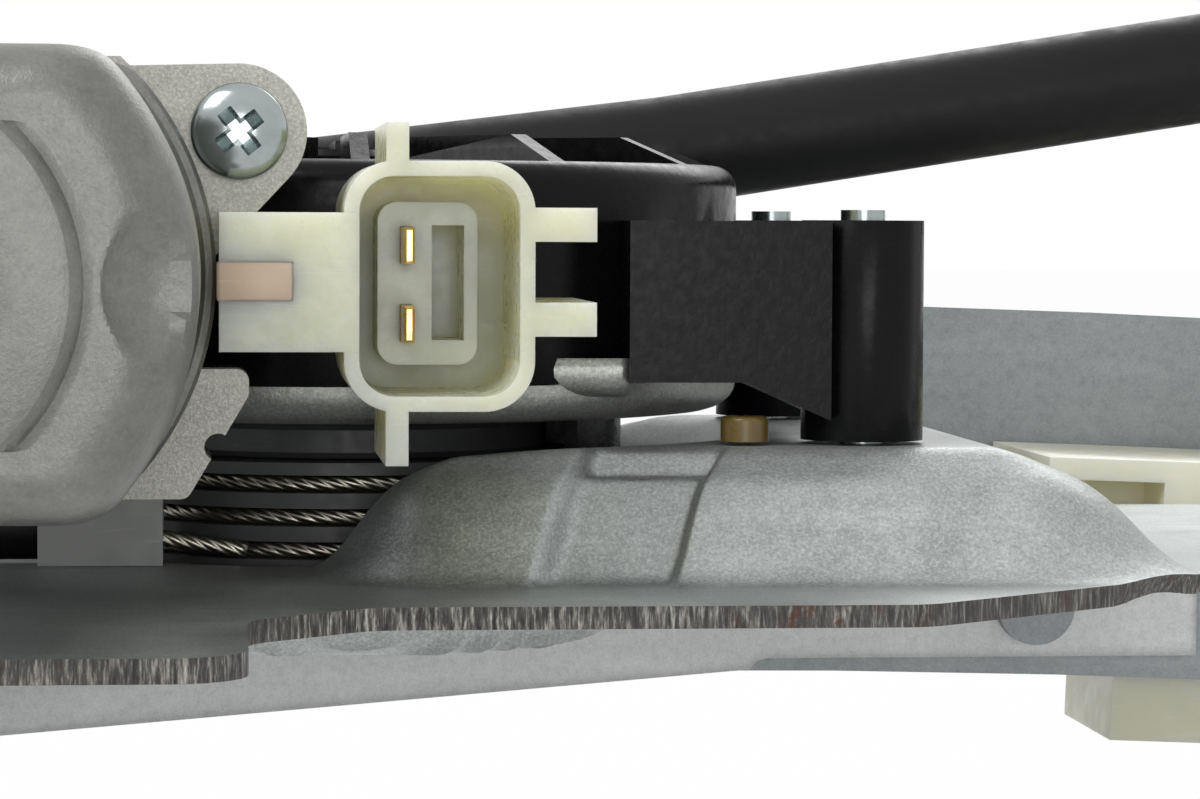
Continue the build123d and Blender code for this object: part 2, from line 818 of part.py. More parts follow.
def make_gear_housing():
    with BuildPart() as gear_housing:
        with BuildSketch(level(housing_bottom)):
            Circle(housing_radius)
        extrude(amount=housing_top - housing_bottom)
        fillet(gear_housing.faces().sort_by(Axis.Z)[-1].edges(), radius=cap_fillet)
        with BuildSketch(motor_plane(tunnel_end_y)):
            Circle(tunnel_radius)
        extrude(amount=tunnel_end_y - housing_face_y)
        with BuildSketch(motor_plane(housing_face_y + neck_length)):
            Circle(neck_radius)
        extrude(amount=neck_length)
        with BuildSketch(motor_plane(housing_face_y + flange_thickness)):
            add(flange_outline())
        extrude(amount=flange_thickness)
        with BuildSketch(Plane.XY.offset(plate_top + block_bottom)):
            with Locations(((block_left + block_right) / 2, block_near)):
                Rectangle(block_right - block_left, drum_y - block_near, align=(Align.CENTER, Align.MIN))
        extrude(amount=block_top - block_bottom)
        with BuildSketch(Plane.XZ.offset(-block_near)):
            with BuildLine():
                Polyline(
                    (gusset_left, plate_top + block_bottom + seat_gap),
                    (block_right, plate_top + gusset_bottom),
                    (block_right, plate_top + block_bottom + seat_gap),
                    close=True,
                )
            make_face()
        extrude(amount=-gusset_thickness)
        with BuildSketch(Plane.XY.offset(plate_top + block_bottom)):
            with BuildLine():
                Line((drum_x, drum_y), post_places[1])
            trace(line_width=side_arm_width)
        extrude(amount=side_arm_top - block_bottom)
        with BuildSketch(Plane.XY.offset(plate_top + left_arm_bottom)):
            with BuildLine():
                Line((motor_x, post_places[2][1]), post_places[2])
            trace(line_width=side_arm_width)
        extrude(amount=left_arm_top - left_arm_bottom)
        for x, y in post_places:
            base = plate_top if x < motor_x else plateau_top
            with BuildSketch(Plane.XY.offset(base + seat_gap)):
                with Locations((x, y)):
                    Circle(post_radius)
            extrude(amount=plate_top + post_top - base - seat_gap)
        for k in range(rib_count):
            turn = 2 * pi * k / rib_count
            across = Plane(
                origin=(drum_x, drum_y, plate_top + housing_top),
                x_dir=(cos(turn), sin(turn), 0),
                z_dir=(sin(turn), -cos(turn), 0),
            )
            with BuildSketch(across):
                with BuildLine():
                    Polyline(
                        (rib_inner, -seat_gap),
                        (rib_outer, -seat_gap),
                        (rib_outer - rib_slope, rib_height),
                        (rib_inner, rib_height),
                        close=True,
                    )
                make_face()
            extrude(amount=rib_width / 2, both=True)
        with BuildSketch(level(housing_bottom)):
            Circle(housing_radius - housing_wall)
        extrude(amount=housing_top - housing_bottom - housing_wall, mode=Mode.SUBTRACT)
        with BuildSketch(motor_plane(tunnel_end_y - housing_wall)):
            Circle(tunnel_bore)
        extrude(amount=tunnel_end_y - housing_wall - housing_face_y, mode=Mode.SUBTRACT)
        with BuildSketch(motor_plane(housing_face_y + neck_length - housing_wall)):
            Circle(neck_bore)
        extrude(amount=neck_length - housing_wall, mode=Mode.SUBTRACT)
        with BuildSketch(motor_plane(housing_face_y + flange_thickness)):
            with Locations(*ear_places()):
                Circle(screw_radius + screw_gap)
        extrude(amount=flange_thickness, mode=Mode.SUBTRACT)
        with BuildSketch(level(housing_top)):
            Circle(drum_bore_radius)
        extrude(amount=-2 * housing_wall, mode=Mode.SUBTRACT)
        for x, y in post_places:
            with BuildSketch(Plane.XY.offset(plate_top + post_top)):
                with Locations((x, y)):
                    Circle(post_screw_radius + screw_gap)
            extrude(amount=-2 * post_top, mode=Mode.SUBTRACT)
    save(gear_housing, "gear_housing")


def make_gear_cover():
    with BuildPart() as gear_cover:
        with BuildSketch(level(cover_bottom)):
            Circle(housing_radius)
        extrude(amount=cover_sheet)
        fillet(gear_cover.faces().sort_by(Axis.Z)[0].edges(), radius=cover_edge)
        with BuildSketch(Plane.XY.offset(plate_top + cover_bottom)):
            with Locations(((tab_left + tab_right) / 2, tab_near)):
                Rectangle(tab_right - tab_left, drum_y - tab_near, align=(Align.CENTER, Align.MIN))
        extrude(amount=cover_sheet)
        with BuildSketch(Plane.XY.offset(plate_top + cover_bottom)):
            with Locations(((tab_left + tab_right) / 2, tab_near)):
                Rectangle(tab_right - tab_left, cover_sheet, align=(Align.CENTER, Align.MIN))
        extrude(amount=tab_top - cover_bottom)
        with BuildSketch(level(cover_bottom)):
            Circle(housing_radius)
            Circle(housing_radius - housing_wall, mode=Mode.SUBTRACT)
        extrude(amount=cover_rim_height - seat_gap)
        with BuildSketch(level(cover_bottom - seat_gap)):
            Circle(cover_hole_radius)
        extrude(amount=2 * cover_sheet, mode=Mode.SUBTRACT)
    save(gear_cover, "gear_cover")


def make_brush_plate():
    with BuildPart() as brush_plate:
        with BuildSketch(motor_plane(flange_y + brush_plate_thickness)):
            add(flange_outline())
            Circle(neck_bore, mode=Mode.SUBTRACT)
            with Locations(*ear_places()):
                Circle(screw_radius + screw_gap, mode=Mode.SUBTRACT)
        extrude(amount=brush_plate_thickness)
    save(brush_plate, "brush_plate")


def make_flange_seal():
    with BuildPart() as flange_seal:
        with BuildSketch(motor_plane(housing_face_y - seat_gap)):
            add(flange_outline())
            Circle(neck_bore, mode=Mode.SUBTRACT)
            with Locations(*ear_places()):
                Circle(screw_radius + screw_gap, mode=Mode.SUBTRACT)
        extrude(amount=seal_thickness - 2 * seat_gap)
    save(flange_seal, "flange_seal")


# Screws
motor_head_radius = 3.7
motor_head_height = 2.8
motor_screw_length = 11.0
post_head_radius = 4.3
post_head_height = 2.6
recess_width_of_cross = 0.9
recess_span = 4.2
recess_depth_of_cross = 1.5


def make_motor_screws():
    with BuildPart() as motor_screws:
        with BuildSketch(motor_plane(flange_y - seat_gap)):
            with Locations(*ear_places()):
                Circle(motor_head_radius)
        extrude(amount=motor_head_height)
        fillet(motor_screws.faces().group_by(Axis.Y)[0].edges(), radius=1.4)
        with BuildSketch(motor_plane(flange_y + motor_screw_length)):
            with Locations(*ear_places()):
                Circle(screw_radius)
        extrude(amount=motor_screw_length + seat_gap)
        with BuildSketch(motor_plane(flange_y - motor_head_height + recess_depth_of_cross)):
            with Locations(*ear_places()):
                Rectangle(recess_span, recess_width_of_cross, rotation=45)
                Rectangle(recess_width_of_cross, recess_span, rotation=45)
        extrude(amount=2 * recess_depth_of_cross, mode=Mode.SUBTRACT)
    save(motor_screws, "motor_screws")


def make_housing_screws():
    with BuildPart() as housing_screws:
        for x, y in post_places:
            seat = (plate_top if x < motor_x else plateau_top) - plate_sheet - seat_gap
            with BuildSketch(Plane.XY.offset(seat)):
                with Locations((x, y)):
                    Circle(post_head_radius)
            extrude(amount=-post_head_height)
            with BuildSketch(Plane.XY.offset(plate_top + post_top + post_screw_rise)):
                with Locations((x, y)):
                    Circle(post_screw_radius)
            extrude(amount=seat - plate_top - post_top - post_screw_rise - post_head_height / 2)
            with BuildSketch(Plane.XY.offset(seat - post_head_height)):
                with Locations((x, y)):
                    Rectangle(recess_span, recess_width_of_cross)
                    Rectangle(recess_width_of_cross, recess_span)
            extrude(amount=recess_depth_of_cross, mode=Mode.SUBTRACT)
    save(housing_screws, "housing_screws")


def make_plate_rivets():
    with BuildPart() as plate_rivets:
        outer_y = plate_flange_y
        for x in flange_rivet_places:
            with BuildSketch(Plane.XZ.offset(-outer_y + seat_gap)):
                with Locations((x, flange_rivet_z)):
                    Circle(rivet_head_radius)
            extrude(amount=rivet_head_height)
            with BuildSketch(Plane.XZ.offset(-outer_y + seat_gap)):
                with Locations((x, flange_rivet_z)):
                    Circle(rivet_radius - running_gap)
            extrude(amount=-plate_sheet - rail_sheet - thin_head)
            with BuildSketch(Plane.XZ.offset(-rail_near_y - rail_sheet - seat_gap)):
                with Locations((x, flange_rivet_z)):
                    Circle(rivet_head_radius - thin_head)
            extrude(amount=-thin_head)
        for step in (-foot_rivet_step, foot_rivet_step):
            with BuildSketch(Plane.XY.offset(plate_top + seat_gap)):
                with Locations((foot_leg_x + step, ear_near_y + foot_rivet_inset)):
                    Circle(rivet_head_radius)
            extrude(amount=rivet_head_height)
            with BuildSketch(Plane.XY.offset(plate_top + seat_gap)):
                with Locations((foot_leg_x + step, ear_near_y + foot_rivet_inset)):
                    Circle(rivet_radius - running_gap)
            extrude(amount=-plate_sheet - foot_sheet - 2 * seat_gap)
    save(plate_rivets, "plate_rivets")


# Front foot
leg_width = 40.0
leg_pad = 22.0
front_hole_y = -151.0


def make_front_foot():
    top = plate_bottom - seat_gap
    with BuildPart() as front_foot:
        with BuildSketch(Plane.YZ.offset(foot_leg_x)):
            with BuildLine():
                Polyline(
                    (ear_near_y + leg_pad, 0),
                    (ear_near_y, 0),
                    (ear_near_y, top),
                    (ear_near_y + leg_pad, top),
                    (ear_near_y + leg_pad, top - foot_sheet),
                    (ear_near_y + foot_sheet, top - foot_sheet),
                    (ear_near_y + foot_sheet, foot_sheet),
                    (ear_near_y + leg_pad, foot_sheet),
                    close=True,
                )
            make_face()
        extrude(amount=leg_width / 2, both=True)
        with BuildSketch(Plane.XY):
            with Locations((foot_leg_x, front_hole_y)):
                Circle(foot_hole_radius)
        extrude(amount=2 * foot_sheet, mode=Mode.SUBTRACT)
        with BuildSketch(Plane.XY.offset(top)):
            for step in (-foot_rivet_step, foot_rivet_step):
                with Locations((foot_leg_x + step, ear_near_y + foot_rivet_inset)):
                    Circle(rivet_radius)
        extrude(amount=-2 * foot_sheet, mode=Mode.SUBTRACT)
    save(front_foot, "front_foot")


# Connector
connector_near = -124.6
bridge_left = -42.0
bridge_bottom = 19.8
bridge_top = 30.8
shroud_left = -32.2
shroud_right = -17.1
shroud_bottom = 15.1
shroud_top = 34.9
shroud_back = -103.2
shroud_wall = 1.2
shroud_floor = 4.0
shroud_corner = 4.0
insert_left = -41.4
insert_right = -36.2
insert_bottom = 23.8
insert_top = 26.9
insert_depth = 3.0
blade_x = -26.9
blade_heights = (21.9, 28.2)
blade_width = 0.87
blade_height = 2.9
blade_tip = 3.0
key_width = 1.8
top_key_x = -28.0
top_key_height = 3.0
bottom_key_depth = 4.3
peg_length = 4.9
peg_height = 2.7
peg_levels = (22.4, 29.9)
shelf_left = -29.2
shelf_right = -21.1
shelf_bottom = 18.5
shelf_top = 31.7
shelf_near = -116.0
shelf_corner = 1.6
pocket_left = -24.8
pocket_right = -22.2
pocket_bottom = 20.5
pocket_top = 29.8


def make_connector_body():
    shroud_x = (shroud_left + shroud_right) / 2
    shroud_z = plate_top + (shroud_bottom + shroud_top) / 2
    shroud_width = shroud_right - shroud_left
    shroud_height = shroud_top - shroud_bottom
    depth = shroud_back - connector_near
    with BuildPart() as connector_body:
        with BuildSketch(Plane.XZ.offset(-shroud_back)):
            with Locations((shroud_x, shroud_z)):
                RectangleRounded(shroud_width, shroud_height, shroud_corner)
        extrude(amount=depth)
        with BuildSketch(Plane.XZ.offset(-flange_y + seat_gap)):
            with Locations((bridge_left, plate_top + bridge_bottom)):
                width = shroud_x - bridge_left
                Rectangle(width, bridge_top - bridge_bottom, align=(Align.MIN, Align.MIN))
        extrude(amount=flange_y - connector_near)
        with BuildSketch(Plane.XZ.offset(-shroud_back)):
            with Locations((top_key_x, plate_top + shroud_top)):
                Rectangle(key_width, 2 * top_key_height)
            with Locations((top_key_x, plate_top + shroud_bottom)):
                Rectangle(key_width, 2 * bottom_key_depth)
            for height in peg_levels:
                with Locations((shroud_right, plate_top + height)):
                    Rectangle(2 * peg_length, peg_height)
        extrude(amount=depth)
        with BuildSketch(Plane.XZ.offset(-shroud_back + shroud_floor)):
            with Locations((shroud_x, shroud_z)):
                inner = shroud_corner - shroud_wall
                RectangleRounded(shroud_width - 2 * shroud_wall, shroud_height - 2 * shroud_wall, inner)
        extrude(amount=2 * depth, mode=Mode.SUBTRACT)
        with BuildSketch(Plane.XZ.offset(-shroud_back + shroud_floor - seat_gap)):
            with Locations(((shelf_left + shelf_right) / 2, plate_top + (shelf_bottom + shelf_top) / 2)):
                RectangleRounded(shelf_right - shelf_left, shelf_top - shelf_bottom, shelf_corner)
        extrude(amount=shroud_back - shroud_floor - shelf_near)
        with BuildSketch(Plane.XZ.offset(-shelf_near)):
            with Locations((pocket_left, plate_top + pocket_bottom)):
                width = pocket_right - pocket_left
                Rectangle(width, pocket_top - pocket_bottom, align=(Align.MIN, Align.MIN))
        extrude(amount=shelf_near - shroud_back + shroud_floor, mode=Mode.SUBTRACT)
        with BuildSketch(Plane.XZ.offset(-connector_near)):
            with Locations((insert_left, plate_top + insert_bottom)):
                Rectangle(insert_right - insert_left, insert_top - insert_bottom, align=(Align.MIN, Align.MIN))
        extrude(amount=-insert_depth, mode=Mode.SUBTRACT)
        with BuildSketch(Plane.XZ.offset(-shroud_back - shelf_corner)):
            for height in blade_heights:
                with Locations((blade_x, plate_top + height)):
                    Rectangle(blade_width + 2 * seat_gap, blade_height + 2 * seat_gap)
        extrude(amount=shroud_back + shelf_corner - shelf_near, mode=Mode.SUBTRACT)
    save(connector_body, "connector_body")


def make_terminals():
    with BuildPart() as terminals:
        with BuildSketch(Plane.XZ.offset(-shroud_back)):
            for height in blade_heights:
                with Locations((blade_x, plate_top + height)):
                    Rectangle(blade_width, blade_height)
        extrude(amount=shroud_back - connector_near - blade_tip)
        tips = terminals.faces().group_by(Axis.Y)[0].edges()
        chamfer(tips, length=blade_width / 4)
    save(terminals, "terminals")


def make_brush_insert():
    with BuildPart() as brush_insert:
        with BuildSketch(Plane.XZ.offset(-connector_near)):
            width = insert_right - insert_left - 2 * seat_gap
            height = insert_top - insert_bottom - 2 * seat_gap
            with Locations(((insert_left + insert_right) / 2, plate_top + (insert_bottom + insert_top) / 2)):
                Rectangle(width, height)
        extrude(amount=-insert_depth + seat_gap)
    save(brush_insert, "brush_insert")


brush_width = 3.4
brush_depth = 5.0


def make_brushes():
    with BuildPart() as brushes:
        for side in (-1, 1):
            with BuildSketch(motor_plane(flange_y + brush_plate_thickness)):
                reach = neck_bore - commutator_radius - 8 * seat_gap
                with Locations((side * (commutator_radius + 2 * seat_gap + reach / 2), 0)):
                    Rectangle(reach, brush_width)
            extrude(amount=brush_depth)
    save(brushes, "brushes")


def make_amber_bush():
    with BuildPart() as amber_bush:
        with BuildSketch(Plane.XY.offset(plateau_top + seat_gap)):
            with Locations((amber_x, amber_y)):
                Circle(amber_radius)
        extrude(amount=amber_height)
        fillet(amber_bush.faces().sort_by(Axis.Z)[-1].edges(), radius=0.5)
    save(amber_bush, "amber_bush")


# End pulleys
pulley_bottom = cable_lane_height - pulley_width / 2
axle_head_radius = 6.5
axle_head_height = 1.4
pulley_bore = axle_radius + running_gap


def pulley_plane(side):
    """The plane of an end pulley's cable: local x is along the rail, local y across it."""
    return rail_level(side * pulley_station, cable_lane_height)


def place(plane, along, across, up=0):
    """A point given in a plane's own directions."""
    return plane.from_local_coords((along, across, up))


def make_pulley(side, name):
    lane = pulley_plane(side)
    centre = place(lane, 0, pulley_y)
    with BuildPart() as pulley:
        with BuildSketch(lane.offset(-pulley_width / 2)):
            with Locations((0, pulley_y)):
                Circle(pulley_rim_radius)
        extrude(amount=pulley_width)
        with BuildSketch(Plane(origin=centre, x_dir=lane.x_dir, z_dir=-lane.y_dir)):
            with Locations((wrap_radius, 0)):
                Circle(cable_radius + running_gap)
                Rectangle(pulley_rim_radius, cable_diameter, align=(Align.MIN, Align.CENTER))
        revolve(axis=Axis(centre, lane.z_dir), revolution_arc=360, mode=Mode.SUBTRACT)
        with BuildSketch(lane.offset(-pulley_width)):
            with Locations((0, pulley_y)):
                Circle(pulley_bore)
        extrude(amount=2 * pulley_width, mode=Mode.SUBTRACT)
    save(pulley, name)


def make_pulley_axle(side, name):
    lane = pulley_plane(side)
    floor = rail_level(side * pulley_station)
    collar = pulley_bottom - seat_gap
    with BuildPart() as pulley_axle:
        with BuildSketch(floor.offset(seat_gap)):
            with Locations((0, pulley_y)):
                Circle(axle_head_radius)
        extrude(amount=collar - seat_gap - running_gap)
        with BuildSketch(floor.offset(seat_gap)):
            with Locations((0, pulley_y)):
                Circle(axle_radius)
        extrude(amount=pulley_bottom + pulley_width + running_gap)
        with BuildSketch(floor.offset(pulley_bottom + pulley_width + running_gap)):
            with Locations((0, pulley_y)):
                Circle(axle_head_radius)
        extrude(amount=axle_head_height)
        with BuildSketch(floor.offset(2 * seat_gap)):
            with Locations((0, pulley_y)):
                Circle(axle_tail_radius - running_gap)
        extrude(amount=-rail_sheet - 4 * seat_gap)
    save(pulley_axle, name)


# Rope along the rail
holder_start = 35.0
holder_length = 14.0
holder_seat = 10.0
holder_half_width = 5.4
holder_half_height = 4.6
conduit_bore = 1.0
rope_bore = 2.0


def make_rail_cable():
    with BuildPart() as rail_cable:
        with BuildSketch(rail_plane(-pulley_station)):
            with Locations((cable_lane_y, cable_lane_height)):
                Circle(cable_radius)
        revolve(axis=rail_axis, revolution_arc=arc_degrees(2 * pulley_station))
        for side in (-1, 1):
            lane = pulley_plane(side)
            run = holder_start + holder_length
            with BuildLine(lane) as path:
                CenterArc((0, pulley_y), wrap_radius, 90, -180 * side)
                Line((0, return_y), (-side * run, return_y))
            start = place(lane, 0, cable_lane_y)
            with BuildSketch(Plane(origin=start, x_dir=lane.y_dir, z_dir=lane.x_dir)):
                Circle(cable_radius)
            sweep(path=path.wires()[0])
    save(rail_cable, "rail_cable")


def make_conduit_holder(side, name):
    lane = pulley_plane(side)
    face = rail_near_y - seat_gap
    start = place(lane, -side * holder_start, 0)
    across = Plane(origin=start, x_dir=lane.y_dir, z_dir=-side * lane.x_dir)
    up = side * holder_half_height
    with BuildPart() as conduit_holder:
        with BuildSketch(across):
            with Locations(((face + return_y - holder_half_width) / 2, 0)):
                Rectangle(face - return_y + holder_half_width, 2 * holder_half_height)
        extrude(amount=holder_length)
        chamfer(conduit_holder.faces().sort_by(Axis.Y)[0].edges(), length=1.2)
        with BuildSketch(across):
            with Locations((return_y, 0)):
                Circle(rope_bore)
        extrude(amount=holder_length, mode=Mode.SUBTRACT)
        with BuildSketch(across.offset(holder_length - holder_seat)):
            with Locations((return_y, 0)):
                Circle(conduit_radius + seat_gap)
        extrude(amount=holder_seat, mode=Mode.SUBTRACT)
    save(conduit_holder, name)


# Conduits and the sockets where they meet the drum
socket_left = -57.6
socket_right = -46.8
socket_half_width = 4.6
near_exit_height = 3.2
far_exit_height = 6.9
near_socket_top = 7.4
far_socket_top = 11.2
socket_seat = 5.0
near_groove_height = top_groove_height - 2 * groove_pitch
near_exit_y = drum_y - drum_wrap_radius
far_exit_y = drum_y + drum_wrap_radius
lead_gap = 9.4
lead_into_socket = 7.0
turn_x = -130.0
turn_far_z = 66.0
loop_left_x = 5.0
loop_left_z = 82.6
loop_right_x = 112.0
loop_right_z = 99.8
loop_foot_run = 78.0
conduit_bend = 24.0
loop_bend = 26.0
left_bend_x = -104.0
left_foot_run = 62.0
sleeve_from_x = -60.0
sleeve_to_z = 62.0


def make_conduit_sockets():
    with BuildPart() as conduit_sockets:
        for y, top, centre in (
            (near_exit_y, near_socket_top, near_exit_height),
            (far_exit_y, far_socket_top, far_exit_height),
        ):
            with BuildSketch(Plane.XY.offset(plate_top + seat_gap)):
                with Locations(((socket_left + socket_right) / 2, y)):
                    Rectangle(socket_right - socket_left, 2 * socket_half_width)
            extrude(amount=top - seat_gap)
            with BuildSketch(Plane.YZ.offset(socket_left)):
                with Locations((y, plate_top + centre)):
                    Circle(conduit_radius + seat_gap)
            extrude(amount=socket_seat, mode=Mode.SUBTRACT)
            with BuildSketch(Plane.YZ.offset(socket_left)):
                with Locations((y, plate_top + centre)):
                    Circle(rope_bore)
            extrude(amount=socket_right - socket_left, mode=Mode.SUBTRACT)
    save(conduit_sockets, "conduit_sockets")


def make_cable_leads():
    with BuildPart() as cable_leads:
        for y, low, high in (
            (near_exit_y, near_groove_height, near_exit_height),
            (far_exit_y, top_groove_height, far_exit_height),
        ):
            start = Vector(drum_x - lead_gap, y, plate_top + low)
            end = Vector(socket_right - lead_into_socket, y, plate_top + high)
            with BuildSketch(Plane(origin=start, z_dir=end - start)):
                Circle(cable_radius)
            extrude(amount=(end - start).length)
    save(cable_leads, "cable_leads")


def conduit_start(side):
    """The point where a conduit is seated in the holder on the rail."""
    return place(pulley_plane(side), -side * (holder_start + holder_length - holder_seat), return_y)


def loop_corners():
    """The corners of the long conduit, which loops over the carrier and behind the gear housing."""
    lane = pulley_plane(1)
    return [
        Vector(*conduit_start(1)),
        Vector(*place(lane, -loop_foot_run, return_y)),
        Vector(loop_right_x, return_y, loop_right_z),
        Vector(loop_left_x, return_y, loop_left_z),
        Vector(turn_x, return_y, turn_far_z),
        Vector(turn_x, near_exit_y, plate_top + near_exit_height),
        Vector(socket_left + socket_seat, near_exit_y, plate_top + near_exit_height),
    ]


def bent_path(points, bend):
    """Straight runs joined by arcs."""
    with BuildLine() as path:
        FilletPolyline(*points, radius=bend)
    return path.wires()[0]


def make_conduit(points, bend, outer, inner, name):
    """A tube of round section along straight runs joined by arcs."""
    with BuildPart() as conduit:
        with BuildSketch(Plane(origin=points[0], z_dir=points[1] - points[0])):
            Circle(outer)
            Circle(inner, mode=Mode.SUBTRACT)
        sweep(path=bent_path(points, bend))
    save(conduit, name)


def make_right_conduit():
    make_conduit(loop_corners(), loop_bend, conduit_radius, conduit_bore, "right_conduit")


def make_conduit_sleeve():
    corners = loop_corners()
    rise = (corners[2] - corners[1]).normalized()
    share = (sleeve_to_z - corners[1].Z) / rise.Z
    first = corners[1] + rise * share
    fall = (corners[4] - corners[3]).normalized()
    last = corners[3] + fall * ((sleeve_from_x - corners[3].X) / fall.X)
    bore = conduit_radius + running_gap
    make_conduit([first, corners[2], corners[3], last], loop_bend, sleeve_radius, bore, "conduit_sleeve")


def make_left_conduit():
    lane = pulley_plane(-1)
    corners = [
        Vector(*conduit_start(-1)),
        Vector(*place(lane, left_foot_run, return_y)),
        Vector(left_bend_x, far_exit_y, plate_top + far_exit_height),
        Vector(socket_left + socket_seat, far_exit_y, plate_top + far_exit_height),
    ]
    make_conduit(corners, conduit_bend, conduit_radius, conduit_bore, "left_conduit")


# Carrier
carrier_floor_gap = 0.6
carrier_stem_width = slot_width - 2 * sliding_gap
stem_half_length = 36.0
foot_gap = 0.5
window_count = 6
window_length = 10.6
window_height = 8.4
window_level = 15.4
window_depth = 9.0
lower_window_level = 6.2
lower_window_height = 5.0
nipple_radius = 2.6
nipple_length = 7.0
insert_radius = 5.0
insert_bore = 3.3
insert_height = 12.0
carrier_bore = 1.4


def curved_block(near, far, low, high, start, end):
    """A block that follows the rail's curve between two stations."""
    with BuildPart() as block:
        with BuildSketch(rail_plane(start)):
            with Locations(((near + far) / 2, (low + high) / 2)):
                Rectangle(far - near, high - low)
        revolve(axis=rail_axis, revolution_arc=arc_degrees(end - start))
    return block.part


def make_carrier():
    start = carrier_station - carrier_length / 2
    end = carrier_station + carrier_length / 2
    near = carrier_near_y
    far = carrier_far_y
    step = carrier_length / window_count
    with BuildPart() as carrier:
        add(curved_block(near, far, carrier_floor_gap, carrier_top_height, start, end))
        half = carrier_stem_width / 2
        foot_top = -rail_sheet - foot_gap
        low = carrier_station - stem_half_length
        high = carrier_station + stem_half_length
        add(curved_block(rail_mid_y - half, rail_mid_y + half, foot_top - 1, carrier_floor_gap + 1, low, high))
        foot_near = rail_mid_y - carrier_foot_half_width
        foot_far = rail_mid_y + carrier_foot_half_width
        add(curved_block(foot_near, foot_far, -carrier_foot_depth, foot_top, low, high))
        for k in range(window_count):
            middle = start + step * (k + 0.5)
            left = middle - window_length / 2
            right = middle + window_length / 2
            low = window_level - window_height / 2
            high = window_level + window_height / 2
            add(curved_block(near - 1, near + window_depth, low, high, left, right), mode=Mode.SUBTRACT)
            low = lower_window_level - lower_window_height / 2
            high = lower_window_level + lower_window_height / 2
            add(curved_block(near - 1, near + window_depth, low, high, left, right), mode=Mode.SUBTRACT)
        with BuildSketch(rail_plane(start - 1)):
            with Locations((cable_lane_y, cable_lane_height)):
                Circle(carrier_bore)
        revolve(axis=rail_axis, revolution_arc=arc_degrees(carrier_length + 2), mode=Mode.SUBTRACT)
        for left in (start - 1, end - nipple_length):
            with BuildSketch(rail_plane(left)):
                with Locations((cable_lane_y, cable_lane_height)):
                    Circle(nipple_radius + seat_gap)
            revolve(axis=rail_axis, revolution_arc=arc_degrees(nipple_length + 1), mode=Mode.SUBTRACT)
        with BuildSketch(rail_level(carrier_station, carrier_top_height)):
            with Locations((0, rail_mid_y)):
                Circle(insert_radius + seat_gap)
        extrude(amount=-insert_height - seat_gap, mode=Mode.SUBTRACT)
    save(carrier, "carrier")


def make_cable_nipples():
    start = carrier_station - carrier_length / 2
    end = carrier_station + carrier_length / 2
    with BuildPart() as cable_nipples:
        for left in (start, end - nipple_length + 4 * seat_gap):
            with BuildSketch(rail_plane(left)):
                with Locations((cable_lane_y, cable_lane_height)):
                    Circle(nipple_radius)
                    Circle(cable_radius + running_gap, mode=Mode.SUBTRACT)
            revolve(axis=rail_axis, revolution_arc=arc_degrees(nipple_length - 4 * seat_gap))
    save(cable_nipples, "cable_nipples")


def make_carrier_insert():
    with BuildPart() as carrier_insert:
        with BuildSketch(rail_level(carrier_station, carrier_top_height)):
            with Locations((0, rail_mid_y)):
                Circle(insert_radius)
                Circle(insert_bore, mode=Mode.SUBTRACT)
        extrude(amount=-insert_height)
    save(carrier_insert, "carrier_insert")


# Stops at the ends of the travel
bumper_length = 4.4
bumper_far_y = 3.0
bumper_height = 11.0
bumper_inset = 2.6
bumper_station = rail_wall_end - bumper_inset


def make_stop_bumpers():
    with BuildPart() as stop_bumpers:
        for start in (-bumper_station - bumper_length, bumper_station):
            end = start + bumper_length
            near = rail_near_y + rail_sheet + seat_gap
            add(curved_block(near, bumper_far_y, seat_gap, bumper_height, start, end))
    save(stop_bumpers, "stop_bumpers")


make_guide_rail()
make_rail_foot(-1, "left_rail_foot")
make_rail_foot(1, "right_rail_foot")
make_foot_rivets()
make_motor_plate()
make_axle_pin()
make_drum()
make_drum_windings()
make_drive_hub()
make_worm_wheel()
make_drive_damper()
make_armature_shaft()
make_worm()
make_armature_core()
make_armature_winding()
make_commutator()
make_motor_can()
make_rear_bearing()
make_magnets()
make_gear_housing()
make_gear_cover()
make_brush_plate()
make_flange_seal()
make_motor_screws()
make_housing_screws()
make_plate_rivets()
make_front_foot()
make_connector_body()
make_terminals()
make_brush_insert()
make_brushes()
make_amber_bush()
make_pulley(-1, "left_pulley")
make_pulley(1, "right_pulley")
make_pulley_axle(-1, "left_pulley_axle")
make_pulley_axle(1, "right_pulley_axle")
make_rail_cable()
make_conduit_holder(-1, "left_conduit_holder")
make_conduit_holder(1, "right_conduit_holder")
make_conduit_sockets()
make_cable_leads()
make_right_conduit()
make_conduit_sleeve()
make_left_conduit()
make_carrier()
make_cable_nipples()
make_carrier_insert()
make_stop_bumpers()
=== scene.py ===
"""Looks of the window regulator: finishes, wound rope, drawn and sheared steel, light and camera."""

import math

import bmesh
import bpy
import numpy as np
from mathutils import Matrix, Vector


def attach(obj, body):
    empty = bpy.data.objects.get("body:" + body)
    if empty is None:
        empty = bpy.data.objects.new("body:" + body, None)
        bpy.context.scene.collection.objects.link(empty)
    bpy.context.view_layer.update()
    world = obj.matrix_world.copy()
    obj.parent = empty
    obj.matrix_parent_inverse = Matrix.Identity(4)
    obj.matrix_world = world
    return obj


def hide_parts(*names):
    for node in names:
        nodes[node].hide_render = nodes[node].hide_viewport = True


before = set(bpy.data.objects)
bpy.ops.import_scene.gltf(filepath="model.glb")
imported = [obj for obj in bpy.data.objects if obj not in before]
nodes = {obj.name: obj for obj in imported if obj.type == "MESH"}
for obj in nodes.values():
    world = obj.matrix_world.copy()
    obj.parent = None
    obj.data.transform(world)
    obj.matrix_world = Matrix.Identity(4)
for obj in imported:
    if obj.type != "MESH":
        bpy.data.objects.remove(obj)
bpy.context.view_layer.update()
MM = 0.001

